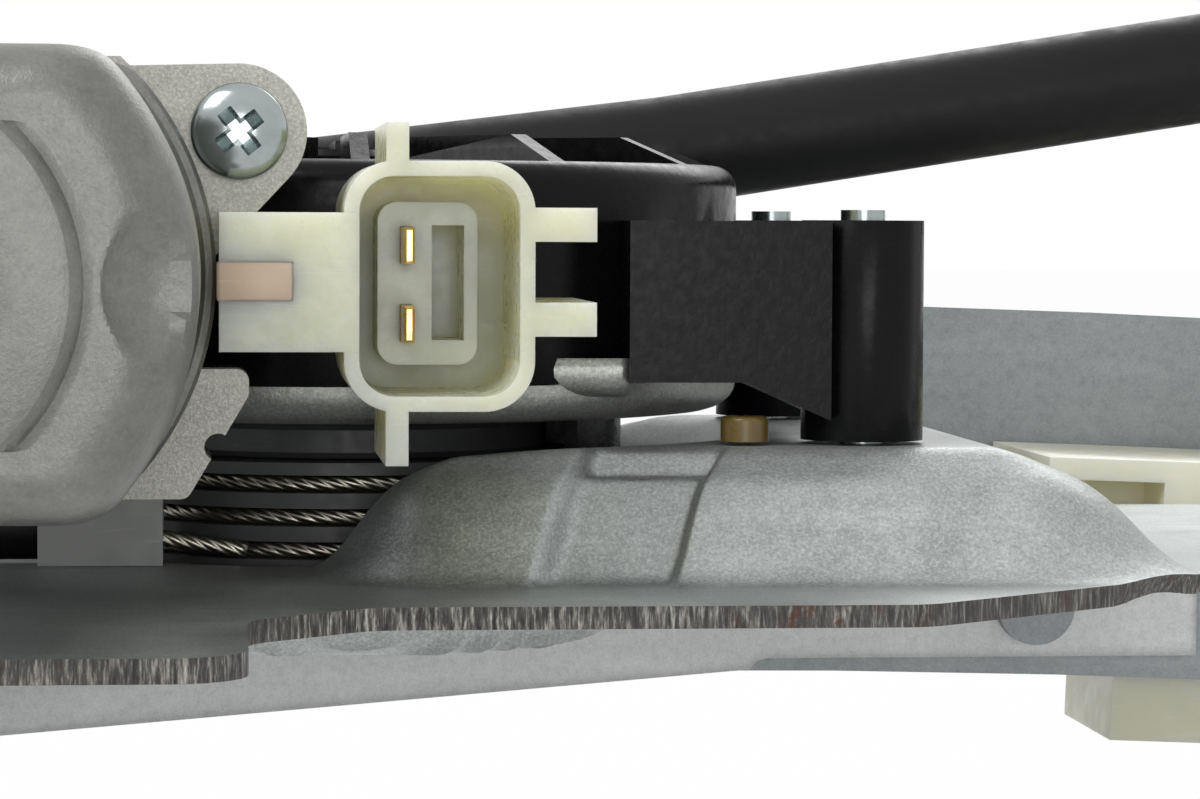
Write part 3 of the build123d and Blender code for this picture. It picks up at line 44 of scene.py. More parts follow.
PLATE_TOP = 45.0
PLATE_SHEET = 1.8
DRUM_X, DRUM_Y = -30.0, -66.0
MOTOR_X, MOTOR_Z = -66.0, PLATE_TOP + 25.7
FLANGE_Y = -120.0


# Materials
def new_material(name):
    """A node material with a Principled shader, and the tree's nodes and links."""
    material = bpy.data.materials.new(name)
    material.use_nodes = True
    tree = material.node_tree
    shader = tree.nodes["Principled BSDF"]
    return material, tree, shader


def position(tree, scale=(1.0, 1.0, 1.0)):
    """The point on the piece in metres, stretched by a scale."""
    coords = tree.nodes.new("ShaderNodeTexCoord")
    mapping = tree.nodes.new("ShaderNodeMapping")
    mapping.inputs["Scale"].default_value = scale
    tree.links.new(coords.outputs["Object"], mapping.inputs["Vector"])
    return mapping.outputs["Vector"]


def noise(tree, vector, scale, detail=4.0, rough=0.55, distortion=0.0):
    """Soft noise from 0 to 1 over the piece."""
    node = tree.nodes.new("ShaderNodeTexNoise")
    node.inputs["Scale"].default_value = scale
    node.inputs["Detail"].default_value = detail
    node.inputs["Roughness"].default_value = rough
    node.inputs["Distortion"].default_value = distortion
    tree.links.new(vector, node.inputs["Vector"])
    return node.outputs["Fac"]


def ramp(tree, value, stops):
    """Colours set along a value."""
    node = tree.nodes.new("ShaderNodeValToRGB")
    while len(node.color_ramp.elements) < len(stops):
        node.color_ramp.elements.new(0.5)
    for element, (at, colour) in zip(node.color_ramp.elements, stops):
        element.position = at
        element.color = (*colour, 1.0) if len(colour) == 3 else colour
    tree.links.new(value, node.inputs["Fac"])
    return node.outputs["Color"]


def spread(tree, value, low, high, from_low=0.0, from_high=1.0):
    """A value fitted from one range to another."""
    node = tree.nodes.new("ShaderNodeMapRange")
    node.inputs["From Min"].default_value = from_low
    node.inputs["From Max"].default_value = from_high
    node.inputs["To Min"].default_value = low
    node.inputs["To Max"].default_value = high
    tree.links.new(value, node.inputs["Value"])
    return node.outputs["Result"]


def mixed(tree, factor, first, second, kind="MIX"):
    """Two colours mixed by a factor."""
    node = tree.nodes.new("ShaderNodeMix")
    node.data_type = "RGBA"
    node.blend_type = kind
    for socket, value in ((node.inputs["Factor"], factor), (node.inputs["A"], first), (node.inputs["B"], second)):
        if isinstance(value, (int, float)):
            socket.default_value = value
        elif isinstance(value, tuple):
            socket.default_value = (*value, 1.0)
        else:
            tree.links.new(value, socket)
    return node.outputs["Result"]


def maths(tree, operation, first, second=0.0):
    """A math node of two values."""
    node = tree.nodes.new("ShaderNodeMath")
    node.operation = operation
    for socket, value in zip(node.inputs, (first, second)):
        if isinstance(value, (int, float)):
            socket.default_value = value
        else:
            tree.links.new(value, socket)
    return node.outputs["Value"]


def bump(tree, shader, height, distance, strength=0.6):
    """Gives a shader a surface relief."""
    node = tree.nodes.new("ShaderNodeBump")
    node.inputs["Distance"].default_value = distance
    node.inputs["Strength"].default_value = strength
    tree.links.new(height, node.inputs["Height"])
    tree.links.new(node.outputs["Normal"], shader.inputs["Normal"])


def galvanised(name, dark, pale, rough=(0.34, 0.55), metallic=0.85, sparkle=0.4):
    """Zinc-coated sheet: soft blue-grey clouds, fine speckle and drawing streaks."""
    material, tree, shader = new_material(name)
    point = position(tree)
    cloud = noise(tree, point, 55.0, 6.0, 0.6, 0.8)
    speck = noise(tree, point, 900.0, 3.0, 0.7)
    streak = noise(tree, position(tree, (60.0, 420.0, 420.0)), 1.0, 3.0)
    base = ramp(tree, cloud, ((0.30, dark), (0.70, pale)))
    base = mixed(tree, spread(tree, speck, 0.0, 0.35, 0.45, 0.75), base, tuple(0.62 * c for c in dark))
    base = mixed(tree, spread(tree, streak, 0.0, 0.22, 0.5, 0.8), base, tuple(min(1.0, 1.35 * c) for c in pale))
    crystal = noise(tree, point, 3400.0, 2.0, 0.8)
    bright = tuple(min(1.0, 1.5 * c + 0.06) for c in pale)
    base = mixed(tree, spread(tree, crystal, 0.0, sparkle, 0.50, 0.72), base, bright)
    base = mixed(tree, spread(tree, crystal, sparkle, 0.0, 0.28, 0.50), base, tuple(0.5 * c for c in dark))
    gloss = spread(tree, cloud, rough[0], rough[1], 0.3, 0.7)
    tree.links.new(base, shader.inputs["Base Color"])
    tree.links.new(gloss, shader.inputs["Roughness"])
    shader.inputs["Metallic"].default_value = metallic
    relief = maths(tree, "ADD", crystal, maths(tree, "MULTIPLY", cloud, 2.0))
    bump(tree, shader, maths(tree, "ADD", speck, relief), 0.00007, 0.5)
    return material


def sheared(name):
    """The cut edge of the sheet: a bright sheared band over dark torn steel, with a few rust specks."""
    material, tree, shader = new_material(name)
    point = position(tree)
    grain = noise(tree, position(tree, (3200.0, 3200.0, 420.0)), 1.0, 4.0, 0.7)
    cloud = noise(tree, point, 45.0, 3.0, 0.6)
    stops = (
        (0.36, (0.018, 0.018, 0.018)),
        (0.50, (0.085, 0.080, 0.074)),
        (0.60, (0.30, 0.285, 0.26)),
        (0.74, (0.66, 0.64, 0.60)),
    )
    steel = ramp(tree, grain, stops)
    steel = mixed(tree, spread(tree, cloud, 0.0, 0.55, 0.42, 0.62), steel, (0.055, 0.053, 0.052))
    patch = spread(tree, noise(tree, point, 38.0, 2.0, 0.6), 0.0, 1.0, 0.50, 0.64)
    speck = spread(tree, noise(tree, point, 620.0, 3.0, 0.7), 0.0, 0.9, 0.54, 0.64)
    steel = mixed(tree, maths(tree, "MULTIPLY", patch, speck), steel, (0.085, 0.030, 0.016))
    tree.links.new(steel, shader.inputs["Base Color"])
    shader.inputs["Metallic"].default_value = 0.35
    shader.inputs["Roughness"].default_value = 0.5
    bump(tree, shader, grain, 0.0002, 0.9)
    return material


def plastic(
    name, dark, pale, rough=(0.3, 0.45), grain=700.0, depth=0.00004, subsurface=0.0, coat=0.0, ior=1.5, glow_depth=0.005
):
    """Moulded plastic: faint flow clouds, a fine mould grain and scuffs."""
    material, tree, shader = new_material(name)
    point = position(tree)
    flow = noise(tree, point, 70.0, 4.0, 0.5, 0.6)
    fine = noise(tree, point, grain, 3.0, 0.6)
    scuff = noise(tree, position(tree, (60.0, 260.0, 900.0)), 1.0, 5.0, 0.7, 1.5)
    base = ramp(tree, flow, ((0.30, dark), (0.72, pale)))
    base = mixed(tree, spread(tree, scuff, 0.0, 0.5, 0.60, 0.78), base, tuple(min(1.0, c * 1.5 + 0.003) for c in pale))
    tree.links.new(base, shader.inputs["Base Color"])
    tree.links.new(spread(tree, fine, rough[0], rough[1], 0.35, 0.65), shader.inputs["Roughness"])
    if subsurface:
        shader.inputs["Subsurface Weight"].default_value = subsurface
        shader.inputs["Subsurface Radius"].default_value = (0.9, 0.75, 0.45)
        shader.inputs["Subsurface Scale"].default_value = glow_depth
    shader.inputs["IOR"].default_value = ior
    if coat:
        shader.inputs["Coat Weight"].default_value = coat
        shader.inputs["Coat Roughness"].default_value = 0.25
    bump(tree, shader, fine, depth, 0.5)
    return material


def metal(name, dark, pale, rough=(0.2, 0.35), stretch=(1.0, 1.0, 1.0), scale=500.0, depth=0.00002):
    """Bare or plated metal with a directional grain."""
    material, tree, shader = new_material(name)
    grain = noise(tree, position(tree, stretch), scale, 4.0, 0.6)
    cloud = noise(tree, position(tree), 90.0, 4.0)
    base = ramp(tree, cloud, ((0.3, dark), (0.7, pale)))
    base = mixed(tree, spread(tree, grain, 0.0, 0.3, 0.45, 0.8), base, tuple(0.5 * c for c in dark))
    tree.links.new(base, shader.inputs["Base Color"])
    tree.links.new(spread(tree, grain, rough[0], rough[1], 0.3, 0.7), shader.inputs["Roughness"])
    shader.inputs["Metallic"].default_value = 1.0
    bump(tree, shader, grain, depth, 0.5)
    return material


zinc_sheet = galvanised("zinc_sheet", (0.31, 0.33, 0.325), (0.46, 0.485, 0.48), (0.36, 0.52), 0.7)
cut_steel = sheared("cut_steel")
# The flange's zinc is a paler copy of the sheet's zinc, though both are one sheet: painted light on the flange.
zinc_flange_painted_light = galvanised("zinc_flange_painted_light", (0.60, 0.61, 0.605), (0.80, 0.81, 0.80), (0.42, 0.58), 0.3, 0.2)
zinc_rail = galvanised("zinc_rail", (0.225, 0.24, 0.248), (0.34, 0.36, 0.368), (0.42, 0.6), 0.6, 0.15)
zinc_cover = galvanised("zinc_cover", (0.30, 0.31, 0.29), (0.50, 0.51, 0.48), (0.32, 0.46), 0.6)
can_steel = galvanised("can_steel", (0.155, 0.158, 0.145), (0.235, 0.238, 0.22), (0.36, 0.48), 0.5, 0.12)
flange_steel = galvanised("flange_steel", (0.27, 0.27, 0.24), (0.40, 0.395, 0.355), (0.36, 0.5), 0.45)
bright_steel = metal("bright_steel", (0.30, 0.335, 0.335), (0.48, 0.53, 0.53), (0.14, 0.26))
shaft_steel = metal("shaft_steel", (0.5, 0.5, 0.5), (0.72, 0.72, 0.72), (0.15, 0.3), (1.0, 8.0, 1.0))
rope_steel = metal("rope_steel", (0.34, 0.32, 0.27), (0.62, 0.59, 0.51), (0.28, 0.45))
black_oxide = metal("black_oxide", (0.008, 0.008, 0.009), (0.02, 0.02, 0.022), (0.35, 0.5))
core_steel = metal("core_steel", (0.14, 0.14, 0.15), (0.3, 0.3, 0.31), (0.4, 0.55), (1.0, 20.0, 1.0))
brass = metal("brass", (0.60, 0.40, 0.16), (0.85, 0.64, 0.32), (0.2, 0.35))
copper = metal("copper", (0.45, 0.17, 0.07), (0.75, 0.36, 0.18), (0.25, 0.4), (1.0, 40.0, 1.0))
ferrite = plastic("ferrite", (0.03, 0.03, 0.033), (0.07, 0.07, 0.072), (0.5, 0.7), 500.0)
black_plastic = plastic(
    "black_plastic", (0.0030, 0.0030, 0.0033), (0.0055, 0.0055, 0.006), (0.20, 0.32), 900.0, 0.00005, ior=1.22
)
conduit_skin = plastic(
    "conduit_skin", (0.005, 0.005, 0.0055), (0.010, 0.010, 0.011), (0.40, 0.54), 420.0, 0.00008, ior=1.3
)
rubber = plastic("rubber", (0.008, 0.008, 0.008), (0.02, 0.02, 0.02), (0.55, 0.75), 600.0, 0.00008)
nylon = plastic(
    "natural_nylon", (0.60, 0.61, 0.41), (0.71, 0.715, 0.52), (0.24, 0.36), 500.0, 0.00003, 1.0, 0.15, glow_depth=0.014
)
white_nylon = plastic("white_nylon", (0.82, 0.81, 0.62), (0.92, 0.91, 0.76), (0.28, 0.42), 500.0, 0.00003, 0.6)
grey_nylon = plastic("grey_nylon", (0.055, 0.057, 0.06), (0.10, 0.102, 0.105), (0.4, 0.55), 600.0, 0.00005)
socket_nylon = plastic("socket_nylon", (0.42, 0.435, 0.42), (0.55, 0.56, 0.54), (0.35, 0.5), 600.0, 0.00005, 0.3)
# The amber bush's dark amber is partly its own colour and partly painted shade, darkened for the shadow it sits in
# under the cover's end.
amber = plastic("amber", (0.13, 0.085, 0.02), (0.22, 0.15, 0.04), (0.22, 0.35), 500.0, 0.00003, 0.3)
tan = plastic("tan", (0.66, 0.47, 0.32), (0.76, 0.58, 0.43), (0.35, 0.5), 500.0, 0.00003, 0.4)
carbon = plastic("carbon", (0.02, 0.02, 0.02), (0.05, 0.05, 0.05), (0.5, 0.65), 900.0)

finishes = {
    zinc_sheet: "motor_plate",
    zinc_rail: "guide_rail left_rail_foot right_rail_foot front_foot foot_rivets plate_rivets",
    zinc_cover: "gear_cover",
    can_steel: "motor_can",
    flange_steel: "brush_plate",
    bright_steel: "motor_screws housing_screws left_pulley_axle right_pulley_axle",
    shaft_steel: "armature_shaft worm_thread",
    black_oxide: "axle_pin",
    rope_steel: "rail_cable cable_leads drum_windings",
    core_steel: "armature_core drive_hub",
    brass: "terminals carrier_insert cable_nipples rear_bearing",
    copper: "armature_winding commutator",
    ferrite: "magnets",
    carbon: "brushes",
    black_plastic: "gear_housing",
    conduit_skin: "conduit_sleeve left_conduit right_conduit",
    rubber: "flange_seal stop_bumpers drive_damper",
    nylon: "connector_body worm_wheel",
    white_nylon: "carrier left_pulley right_pulley",
    grey_nylon: "left_conduit_holder right_conduit_holder drum",
    socket_nylon: "conduit_sockets",
    amber: "amber_bush",
    tan: "brush_insert",
}
for material, names in finishes.items():
    for name in names.split():
        nodes[name].data.materials.clear()
        nodes[name].data.materials.append(material)


# Motor plate: a drawn sheet with a raised part, a pan round the drum and a bent flange
PLATEAU_LEFT, PLATEAU_RIGHT = -33.0, 41.0
PLATEAU_NEAR, PLATEAU_FAR = -112.0, -34.0
PLATEAU_HEIGHT = 11.2
PLATEAU_DRUM_RADIUS = 27.5
PAN_RADIUS, PAN_DEPTH, PAN_RUN = 26.5, 6.4, 3.4
FAR_Y = -17.05
BEND = 3.0
FLANGE_LEFT, FLANGE_RIGHT = -96.0, 64.0
FLANGE_LEFT_Z, FLANGE_RIGHT_Z = 18.2, 28.4
FLANGE_STEP_X, FLANGE_STEP = 15.0, 1.2
SHEET_OUTLINE = (
    (-112.0, -163.0), (-40.0, -163.0), (-40.0, -138.0), (-30.0, -128.5),
    (14.0, -128.5), (42.0, -105.0), (70.0, FAR_Y - BEND), (-112.0, FAR_Y - BEND),
)
SHEET_CORNER = 5.4
LEDGE_HEIGHT, LEDGE_END, LEDGE_X = 8.4, -102.2, -5.2
TROUGH_HALF, TROUGH_SLANT, TROUGH_SET = 6.2, 0.52, 2.3
FINE_X, FINE_Y = (-36.0, 44.0), (-114.0, -92.0)
TROUGH_X, TROUGH_Y = (-18.0, 3.0), (-112.5, -99.5)


def soft_min(first, second, width):
    """The smaller of two values, with a rounded change from one to the other."""
    share = np.clip(0.5 + 0.5 * (second - first) / width, 0.0, 1.0)
    return second * (1 - share) + first * share - width * share * (1 - share)


def smooth_step(value):
    """A soft change from 0 to 1, held flat outside that range."""
    value = np.clip(value, 0.0, 1.0)
    return value * value * (3 - 2 * value)


def drawn_wall(run):
    """The height share of a drawn wall: a tight foot, a steep wall and a long soft brow."""
    knots, shares = (0.0, 0.45, 1.0), (0.0, 0.68, 1.0)
    offsets = (-0.16, -0.10, -0.05, 0.0, 0.05, 0.10, 0.16)
    return sum(np.interp(run + offset, knots, shares) for offset in offsets) / len(offsets)


def sheet_height(x, y):
    """How far the sheet's top face is drawn up or down at a place."""
    trough_x = LEDGE_X + TROUGH_SLANT * (y - LEDGE_END)
    trough = smooth_step((TROUGH_HALF - np.abs(x - trough_x)) / 1.5)
    left = (x - PLATEAU_LEFT) / 11.5
    right = (PLATEAU_RIGHT - x) / 16.5
    near = (y - PLATEAU_NEAR - TROUGH_SET * trough) / 10.5
    far = (PLATEAU_FAR - y) / 10.5
    reach = np.hypot(x - DRUM_X, y - DRUM_Y)
    drum = (reach - PLATEAU_DRUM_RADIUS) / 10.5
    along, across = np.minimum(left, right), np.minimum(near, far)
    run = 1.0 - np.hypot(np.maximum(0.0, 1.0 - along), np.maximum(0.0, 1.0 - across))
    run = soft_min(run, drum, 0.3)
    height = PLATEAU_HEIGHT * drawn_wall(run)
    ledge = LEDGE_HEIGHT + 1.15 * np.maximum(0.0, y - LEDGE_END)
    height = height - trough * np.maximum(0.0, height - ledge)
    return height - PAN_DEPTH * smooth_step((PAN_RADIUS - reach) / PAN_RUN)


def rounded(outline, radius, steps=6):
    """A closed outline with every corner rounded."""
    points = []
    count = len(outline)
    for i, corner in enumerate(outline):
        corner = Vector(corner)
        before = (Vector(outline[i - 1]) - corner).normalized()
        after = (Vector(outline[(i + 1) % count]) - corner).normalized()
        half = before.angle(after) / 2
        centre = corner + (before + after).normalized() * radius / math.sin(half)
        first = corner + before * radius / math.tan(half) - centre
        last = corner + after * radius / math.tan(half) - centre
        for k in range(steps + 1):
            blend = first.lerp(last, k / steps).normalized() * radius
            points.append(centre + blend)
    return points


def finished(name, mesh, materials, angle=35.0):
    """Links a mesh as a piece, with its materials and smooth shading across soft edges."""
    for material in materials:
        mesh.materials.append(material)
    piece = bpy.data.objects.new(name, mesh)
    bpy.context.scene.collection.objects.link(piece)
    mesh.polygons.foreach_set("use_smooth", [True] * len(mesh.polygons))
    mesh.set_sharp_from_angle(angle=math.radians(angle))
    return piece


def make_sheet():
    """The drawn plate: its outline cut into a fine grid and lifted to the drawn height."""
    sheet = bmesh.new()
    corners = [sheet.verts.new((p.x * MM, p.y * MM, 0.0)) for p in rounded(SHEET_OUTLINE, SHEET_CORNER)]
    sheet.faces.new(corners)
    spans = (
        (0, -112.0, 70.0, FINE_X, TROUGH_X),
        (1, -163.0, FAR_Y - BEND, FINE_Y, TROUGH_Y),
    )
    for axis, low, high, fine, finest in spans:
        normal = (1.0, 0.0, 0.0) if axis == 0 else (0.0, 1.0, 0.0)
        at = low
        while at < high - 2.0:
            at += 0.35 if finest[0] < at < finest[1] else 0.8 if fine[0] < at < fine[1] else 1.6
            place = (at * MM, 0.0, 0.0) if axis == 0 else (0.0, at * MM, 0.0)
            geometry = sheet.verts[:] + sheet.edges[:] + sheet.faces[:]
            bmesh.ops.bisect_plane(sheet, geom=geometry, plane_co=place, plane_no=normal, dist=1e-7)
    bmesh.ops.dissolve_degenerate(sheet, dist=2e-6, edges=sheet.edges[:])
    mesh = bpy.data.meshes.new("sheet")
    sheet.to_mesh(mesh)
    sheet.free()
    places = np.empty(3 * len(mesh.vertices))
    mesh.vertices.foreach_get("co", places)
    places = places.reshape(-1, 3)
    places[:, 2] = (PLATE_TOP + sheet_height(places[:, 0] / MM, places[:, 1] / MM)) * MM
    mesh.vertices.foreach_set("co", places.ravel())
    piece = finished("drawn_sheet", mesh, (zinc_sheet, cut_steel), 75.0)
    rims = {(p[k], p[k - 1]) for p in (tuple(face.vertices) for face in mesh.polygons) for k in range(len(p))}
    for edge in mesh.edges:
        a, b = edge.vertices
        if ((a, b) in rims) != ((b, a) in rims):
            edge.use_edge_sharp = True
    return thickened(piece)


def thickened(piece):
    """Gives a sheet its thickness below, with the cut edge in the second material."""
    solid = piece.modifiers.new("thickness", "SOLIDIFY")
    solid.thickness = PLATE_SHEET * MM
    solid.offset = -1.0
    solid.use_even_offset = True
    solid.material_offset_rim = 1
    return piece


def flange_low(x):
    """The height of the bent flange's lower edge."""
    if x < FLANGE_STEP_X:
        share = (x - FLANGE_LEFT) / (FLANGE_STEP_X - FLANGE_LEFT)
        return FLANGE_LEFT_Z + share * (FLANGE_RIGHT_Z - FLANGE_STEP - FLANGE_LEFT_Z)
    return min(FLANGE_RIGHT_Z, FLANGE_RIGHT_Z - FLANGE_STEP + x - FLANGE_STEP_X)


def make_flange():
    """The flange bent down along the plate's far edge, in a paler copy of the sheet's zinc that paints light on it."""
    columns = 161
    arc = 7
    rows = arc + 8
    verts, faces = [], []
    for i in range(columns):
        x = FLANGE_LEFT + (FLANGE_RIGHT - FLANGE_LEFT) * i / (columns - 1)
        low = flange_low(x)
        for j in range(rows):
            if j < arc:
                turn = math.pi / 2 * j / (arc - 1)
                y = FAR_Y - BEND + BEND * math.sin(turn)
                z = PLATE_TOP - BEND + BEND * math.cos(turn)
            else:
                share = (j - arc + 1) / (rows - arc)
                y = FAR_Y
                z = PLATE_TOP - BEND + share * (low - PLATE_TOP + BEND)
            verts.append((x * MM, y * MM, z * MM))
    for i in range(columns - 1):
        for j in range(rows - 1):
            a = i * rows + j
            faces.append((a, a + 1, a + rows + 1, a + rows)[::-1])
    mesh = bpy.data.meshes.new("flange")
    mesh.from_pydata(verts, [], faces)
    return thickened(finished("bent_flange", mesh, (zinc_flange_painted_light, zinc_flange_painted_light)))


for plate_piece in (make_sheet(), make_flange()):
    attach(plate_piece, "base")
    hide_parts("motor_plate")


def lathed(name, profile, centre, material, sides=72, axis="Z"):
    """A turned piece: a profile of (radius, height) pairs round an upright axis, or one along -Y."""
    verts, faces = [], []
    for radius, height in profile:
        for k in range(sides):
            turn = 2 * math.pi * k / sides
            across, along = radius * math.cos(turn), radius * math.sin(turn)
            offset = (across, along, height) if axis == "Z" else (across, -height, along)
            verts.append(tuple((c + o) * MM for c, o in zip(centre, offset)))
    for i in range(len(profile) - 1):
        for k in range(sides):
            m = (k + 1) % sides
            faces.append((i * sides + k, i * sides + m, (i + 1) * sides + m, (i + 1) * sides + k))
    faces.append(tuple(range(sides))[::-1])
    faces.append(tuple((len(profile) - 1) * sides + k for k in range(sides)))
    mesh = bpy.data.meshes.new(name)
    mesh.from_pydata(verts, [], faces)
    work = bmesh.new()
    work.from_mesh(mesh)
    bmesh.ops.recalc_face_normals(work, faces=work.faces)
    work.to_mesh(mesh)
    work.free()
    return finished(name, mesh, (material,), 40.0)


# Drive hub: a dark disc over the drum with the hexagon that drives it
hub = lathed(
    "hub_disc",
    (
        *((4.1, 8.95), (18.2, 8.95), (18.8, 9.5), (18.8, 11.5), (18.2, 12.1)),
        *((7.2, 12.1), (6.6, 12.4), (6.6, 20.0), (4.1, 20.0)),
    ),
    (DRUM_X, DRUM_Y, PLATE_TOP),
    grey_nylon,
)
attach(hub, "drum_group")
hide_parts("drive_hub")


# Motor screws: plated pan heads with a cross recess
EARS = ((MOTOR_X + 25.6, MOTOR_Z + 11.5), (MOTOR_X - 25.6, MOTOR_Z - 11.5))
HEAD_RADIUS, HEAD_HEIGHT = 3.85, 2.75


def cross_cutter(name, centre):
    """A four-armed wedge that leaves a cross recess narrowing to its bottom."""
    verts, faces = [], []
    for turn in (math.radians(38.0), math.radians(128.0)):
        for depth, arm, half in ((-0.6, 2.45, 0.78), (2.2, 0.95, 0.40)):
            for along, across in ((-arm, -half), (arm, -half), (arm, half), (-arm, half)):
                x = along * math.cos(turn) - across * math.sin(turn)
                z = along * math.sin(turn) + across * math.cos(turn)
                y = -HEAD_HEIGHT + depth
                verts.append(tuple((c + o) * MM for c, o in zip(centre, (x, y, z))))
        b = len(verts) - 8
        faces += [(b, b + 1, b + 2, b + 3), (b + 7, b + 6, b + 5, b + 4)]
        faces += [(b + k, b + 4 + k, b + 4 + (k + 1) % 4, b + (k + 1) % 4) for k in range(4)]
    mesh = bpy.data.meshes.new(name)
    mesh.from_pydata(verts, [], faces)
    work = bmesh.new()
    work.from_mesh(mesh)
    bmesh.ops.recalc_face_normals(work, faces=work.faces)
    work.to_mesh(mesh)
    work.free()
    return bpy.data.objects.new(name, mesh)


def evaluated(piece):
    """The piece's mesh with its modifiers applied."""
    bpy.context.view_layer.update()
    return bpy.data.meshes.new_from_object(piece.evaluated_get(bpy.context.evaluated_depsgraph_get()))


def head_profile():
    """A pan head and its shank, from the shank's end to the top."""
    dome = [(HEAD_RADIUS * math.cos(t), 1.15 + 1.6 * math.sin(t)) for t in (math.radians(a) for a in range(4, 76, 6))]
    shank = [(0.01, -11.0), (2.2, -11.0), (2.35, -10.6), (2.35, 0.0)]
    return shank + [(HEAD_RADIUS - 0.3, 0.0), (HEAD_RADIUS, 0.3)] + dome + [(0.01, HEAD_HEIGHT)]


for index, (x, z) in enumerate(EARS):
    centre = (x, FLANGE_Y, z)
    screw = lathed(f"flange_screw_{index + 1}", head_profile(), centre, bright_steel, 64, "Y")
    cutter = cross_cutter("cross_cutter", centre)
    bpy.context.scene.collection.objects.link(cutter)
    cut = screw.modifiers.new("cross", "BOOLEAN")
    cut.operation = "DIFFERENCE"
    cut.solver = "EXACT"
    cut.use_self = True
    cut.object = cutter
    mesh = evaluated(screw)
    screw.modifiers.clear()
    screw.data = mesh
    mesh.set_sharp_from_angle(angle=math.radians(30.0))
    bpy.data.objects.remove(cutter)
    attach(screw, "base")
    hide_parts("motor_screws")


# Motor can
CAN_RADIUS, CAN_FLAT = 22.6, 16.2
CAN_END = 172.0
SHOULDER = 5.0
DIMPLE_OUT, DIMPLE_BACK, DIMPLE_RADIUS, DIMPLE_HALF = 20.6, 174.2, 5.0, 6.2


def can_reach(turn):
    """The can's outline from its axis: round at the sides and flat above and below."""
    flat = CAN_FLAT / max(abs(math.sin(turn)), 1e-6)
    share = min(max(0.5 + 0.5 * (flat - CAN_RADIUS) / 2.0, 0.0), 1.0)
    return flat * (1 - share) + CAN_RADIUS * share - 2.0 * share * (1 - share)


def can_rings():
    """The can's rings from flange to boss: how far back each lies, its inset, and its largest radius."""
    rings = [(120.05, -1.2, 99.0), (121.5, -1.2, 99.0), (121.9, -0.9, 99.0), (122.05, -0.35, 99.0), (122.6, 0.0, 99.0)]
    rings += [(back, 0.0, 99.0) for back in (124.0, 135.0, 146.0, 155.0, 160.0, 162.0, 163.0, 164.0, 165.0, 166.0)]
    for k in range(15):
        turn = math.radians(90.0 * k / 14)
        rings.append((CAN_END - SHOULDER + SHOULDER * math.sin(turn), SHOULDER * (1 - math.cos(turn)), 99.0))
    rings += [(CAN_END, SHOULDER + 0.3 * k, 99.0) for k in range(1, 7)]
    step = [(0.0, 6.9, 15.6), (0.25, 7.0, 15.0), (0.9, 7.0, 14.6), (1.35, 7.0, 14.1), (1.5, 7.0, 13.4)]
    boss = [(1.5, 9.0, 9.6), (1.9, 9.0, 8.9), (2.6, 9.0, 8.5), (4.5, 9.0, 8.5), (5.3, 9.0, 8.1), (5.85, 9.0, 7.4)]
    boss += [(6.0, 9.0, 6.6), (6.0, 9.0, 0.02)]
    return rings + [(CAN_END + rise, inset, limit) for rise, inset, limit in step + boss]


def dented(across, back, up):
    """Presses the long dimple into the can's shoulder on each side."""
    out, behind = abs(across) - DIMPLE_OUT, back - DIMPLE_BACK
    if back > CAN_END + 0.1 or abs(up) >= DIMPLE_HALF:
        return across, back, up
    size = DIMPLE_RADIUS * math.sqrt(1 - (up / DIMPLE_HALF) ** 2)
    away = math.hypot(out, behind)
    if away >= size:
        return across, back, up
    out, behind = min(out, 0.0), min(behind, 0.0)
    away = max(math.hypot(out, behind), 1e-6)
    across = math.copysign(DIMPLE_OUT + out * size / away, across)
    return across, DIMPLE_BACK + behind * size / away, up


def make_can():
    """Motor can: a drawn cup with two flats, a soft shoulder, a pressed dimple each side and a boss."""
    sides = 240
    verts, faces = [], []
    rings = can_rings()
    for back, inset, limit in rings:
        for k in range(sides):
            turn = 2 * math.pi * k / sides
            reach = min(can_reach(turn) - inset, limit)
            across, depth, up = dented(reach * math.cos(turn), back, reach * math.sin(turn))
            verts.append(((MOTOR_X + across) * MM, -depth * MM, (MOTOR_Z + up) * MM))
    for i in range(len(rings) - 1):
        for k in range(sides):
            m = (k + 1) % sides
            faces.append((i * sides + k, i * sides + m, (i + 1) * sides + m, (i + 1) * sides + k))
    faces.append(tuple(range(sides))[::-1])
    faces.append(tuple((len(rings) - 1) * sides + k for k in range(sides)))
    mesh = bpy.data.meshes.new("can")
    mesh.from_pydata(verts, [], faces)
    piece = finished("drawn_can", mesh, (can_steel,), 28.0)
    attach(piece, "base")
    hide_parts("motor_can")


make_can()


# Gear cover
COVER_RADIUS = 36.5


def make_cover():
    """Gear cover: a dished plate under the wheel, and its bent tab."""
    outer = [(10.4, 13.6), (10.4, 12.8), (33.0, 12.8)]
    turns = [math.radians(15.0 * k) for k in range(7)]
    outer += [(33.0 + 3.5 * math.sin(t), 15.4 - 2.6 * math.cos(t)) for t in turns[1:]]
    outer += [(COVER_RADIUS, 16.1), (COVER_RADIUS - 2.3, 16.1), (COVER_RADIUS - 2.4, 14.4), (10.4, 14.4), (10.4, 13.6)]
    dish = lathed("dished_cover", outer, (DRUM_X, DRUM_Y, PLATE_TOP), zinc_cover, 120)
    path = [(-95.6, 15.7)]
    path += [(-96.1 - 1.7 * math.sin(t), 17.4 - 1.7 * math.cos(t)) for t in turns[:6]]
    path += [(-97.75, 17.5), (-97.6, 18.3)]
    verts, faces = [], []
    for y, height in path:
        for x in (-13.9, -13.2, -7.5, -6.8):
            verts.append((x * MM, y * MM, (PLATE_TOP + height) * MM))
    for i in range(len(path) - 1):
        for k in range(3):
            a = 4 * i + k
            faces.append((a, a + 4, a + 5, a + 1))
    mesh = bpy.data.meshes.new("tab")
    mesh.from_pydata(verts, [], faces)
    tab = finished("cover_tab", mesh, (zinc_cover,), 50.0)
    solid = tab.modifiers.new("thickness", "SOLIDIFY")
    solid.thickness = 1.4 * MM
    solid.offset = 0.0
    for piece in (dish, tab):
        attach(piece, "base")
        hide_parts("gear_cover")


make_cover()


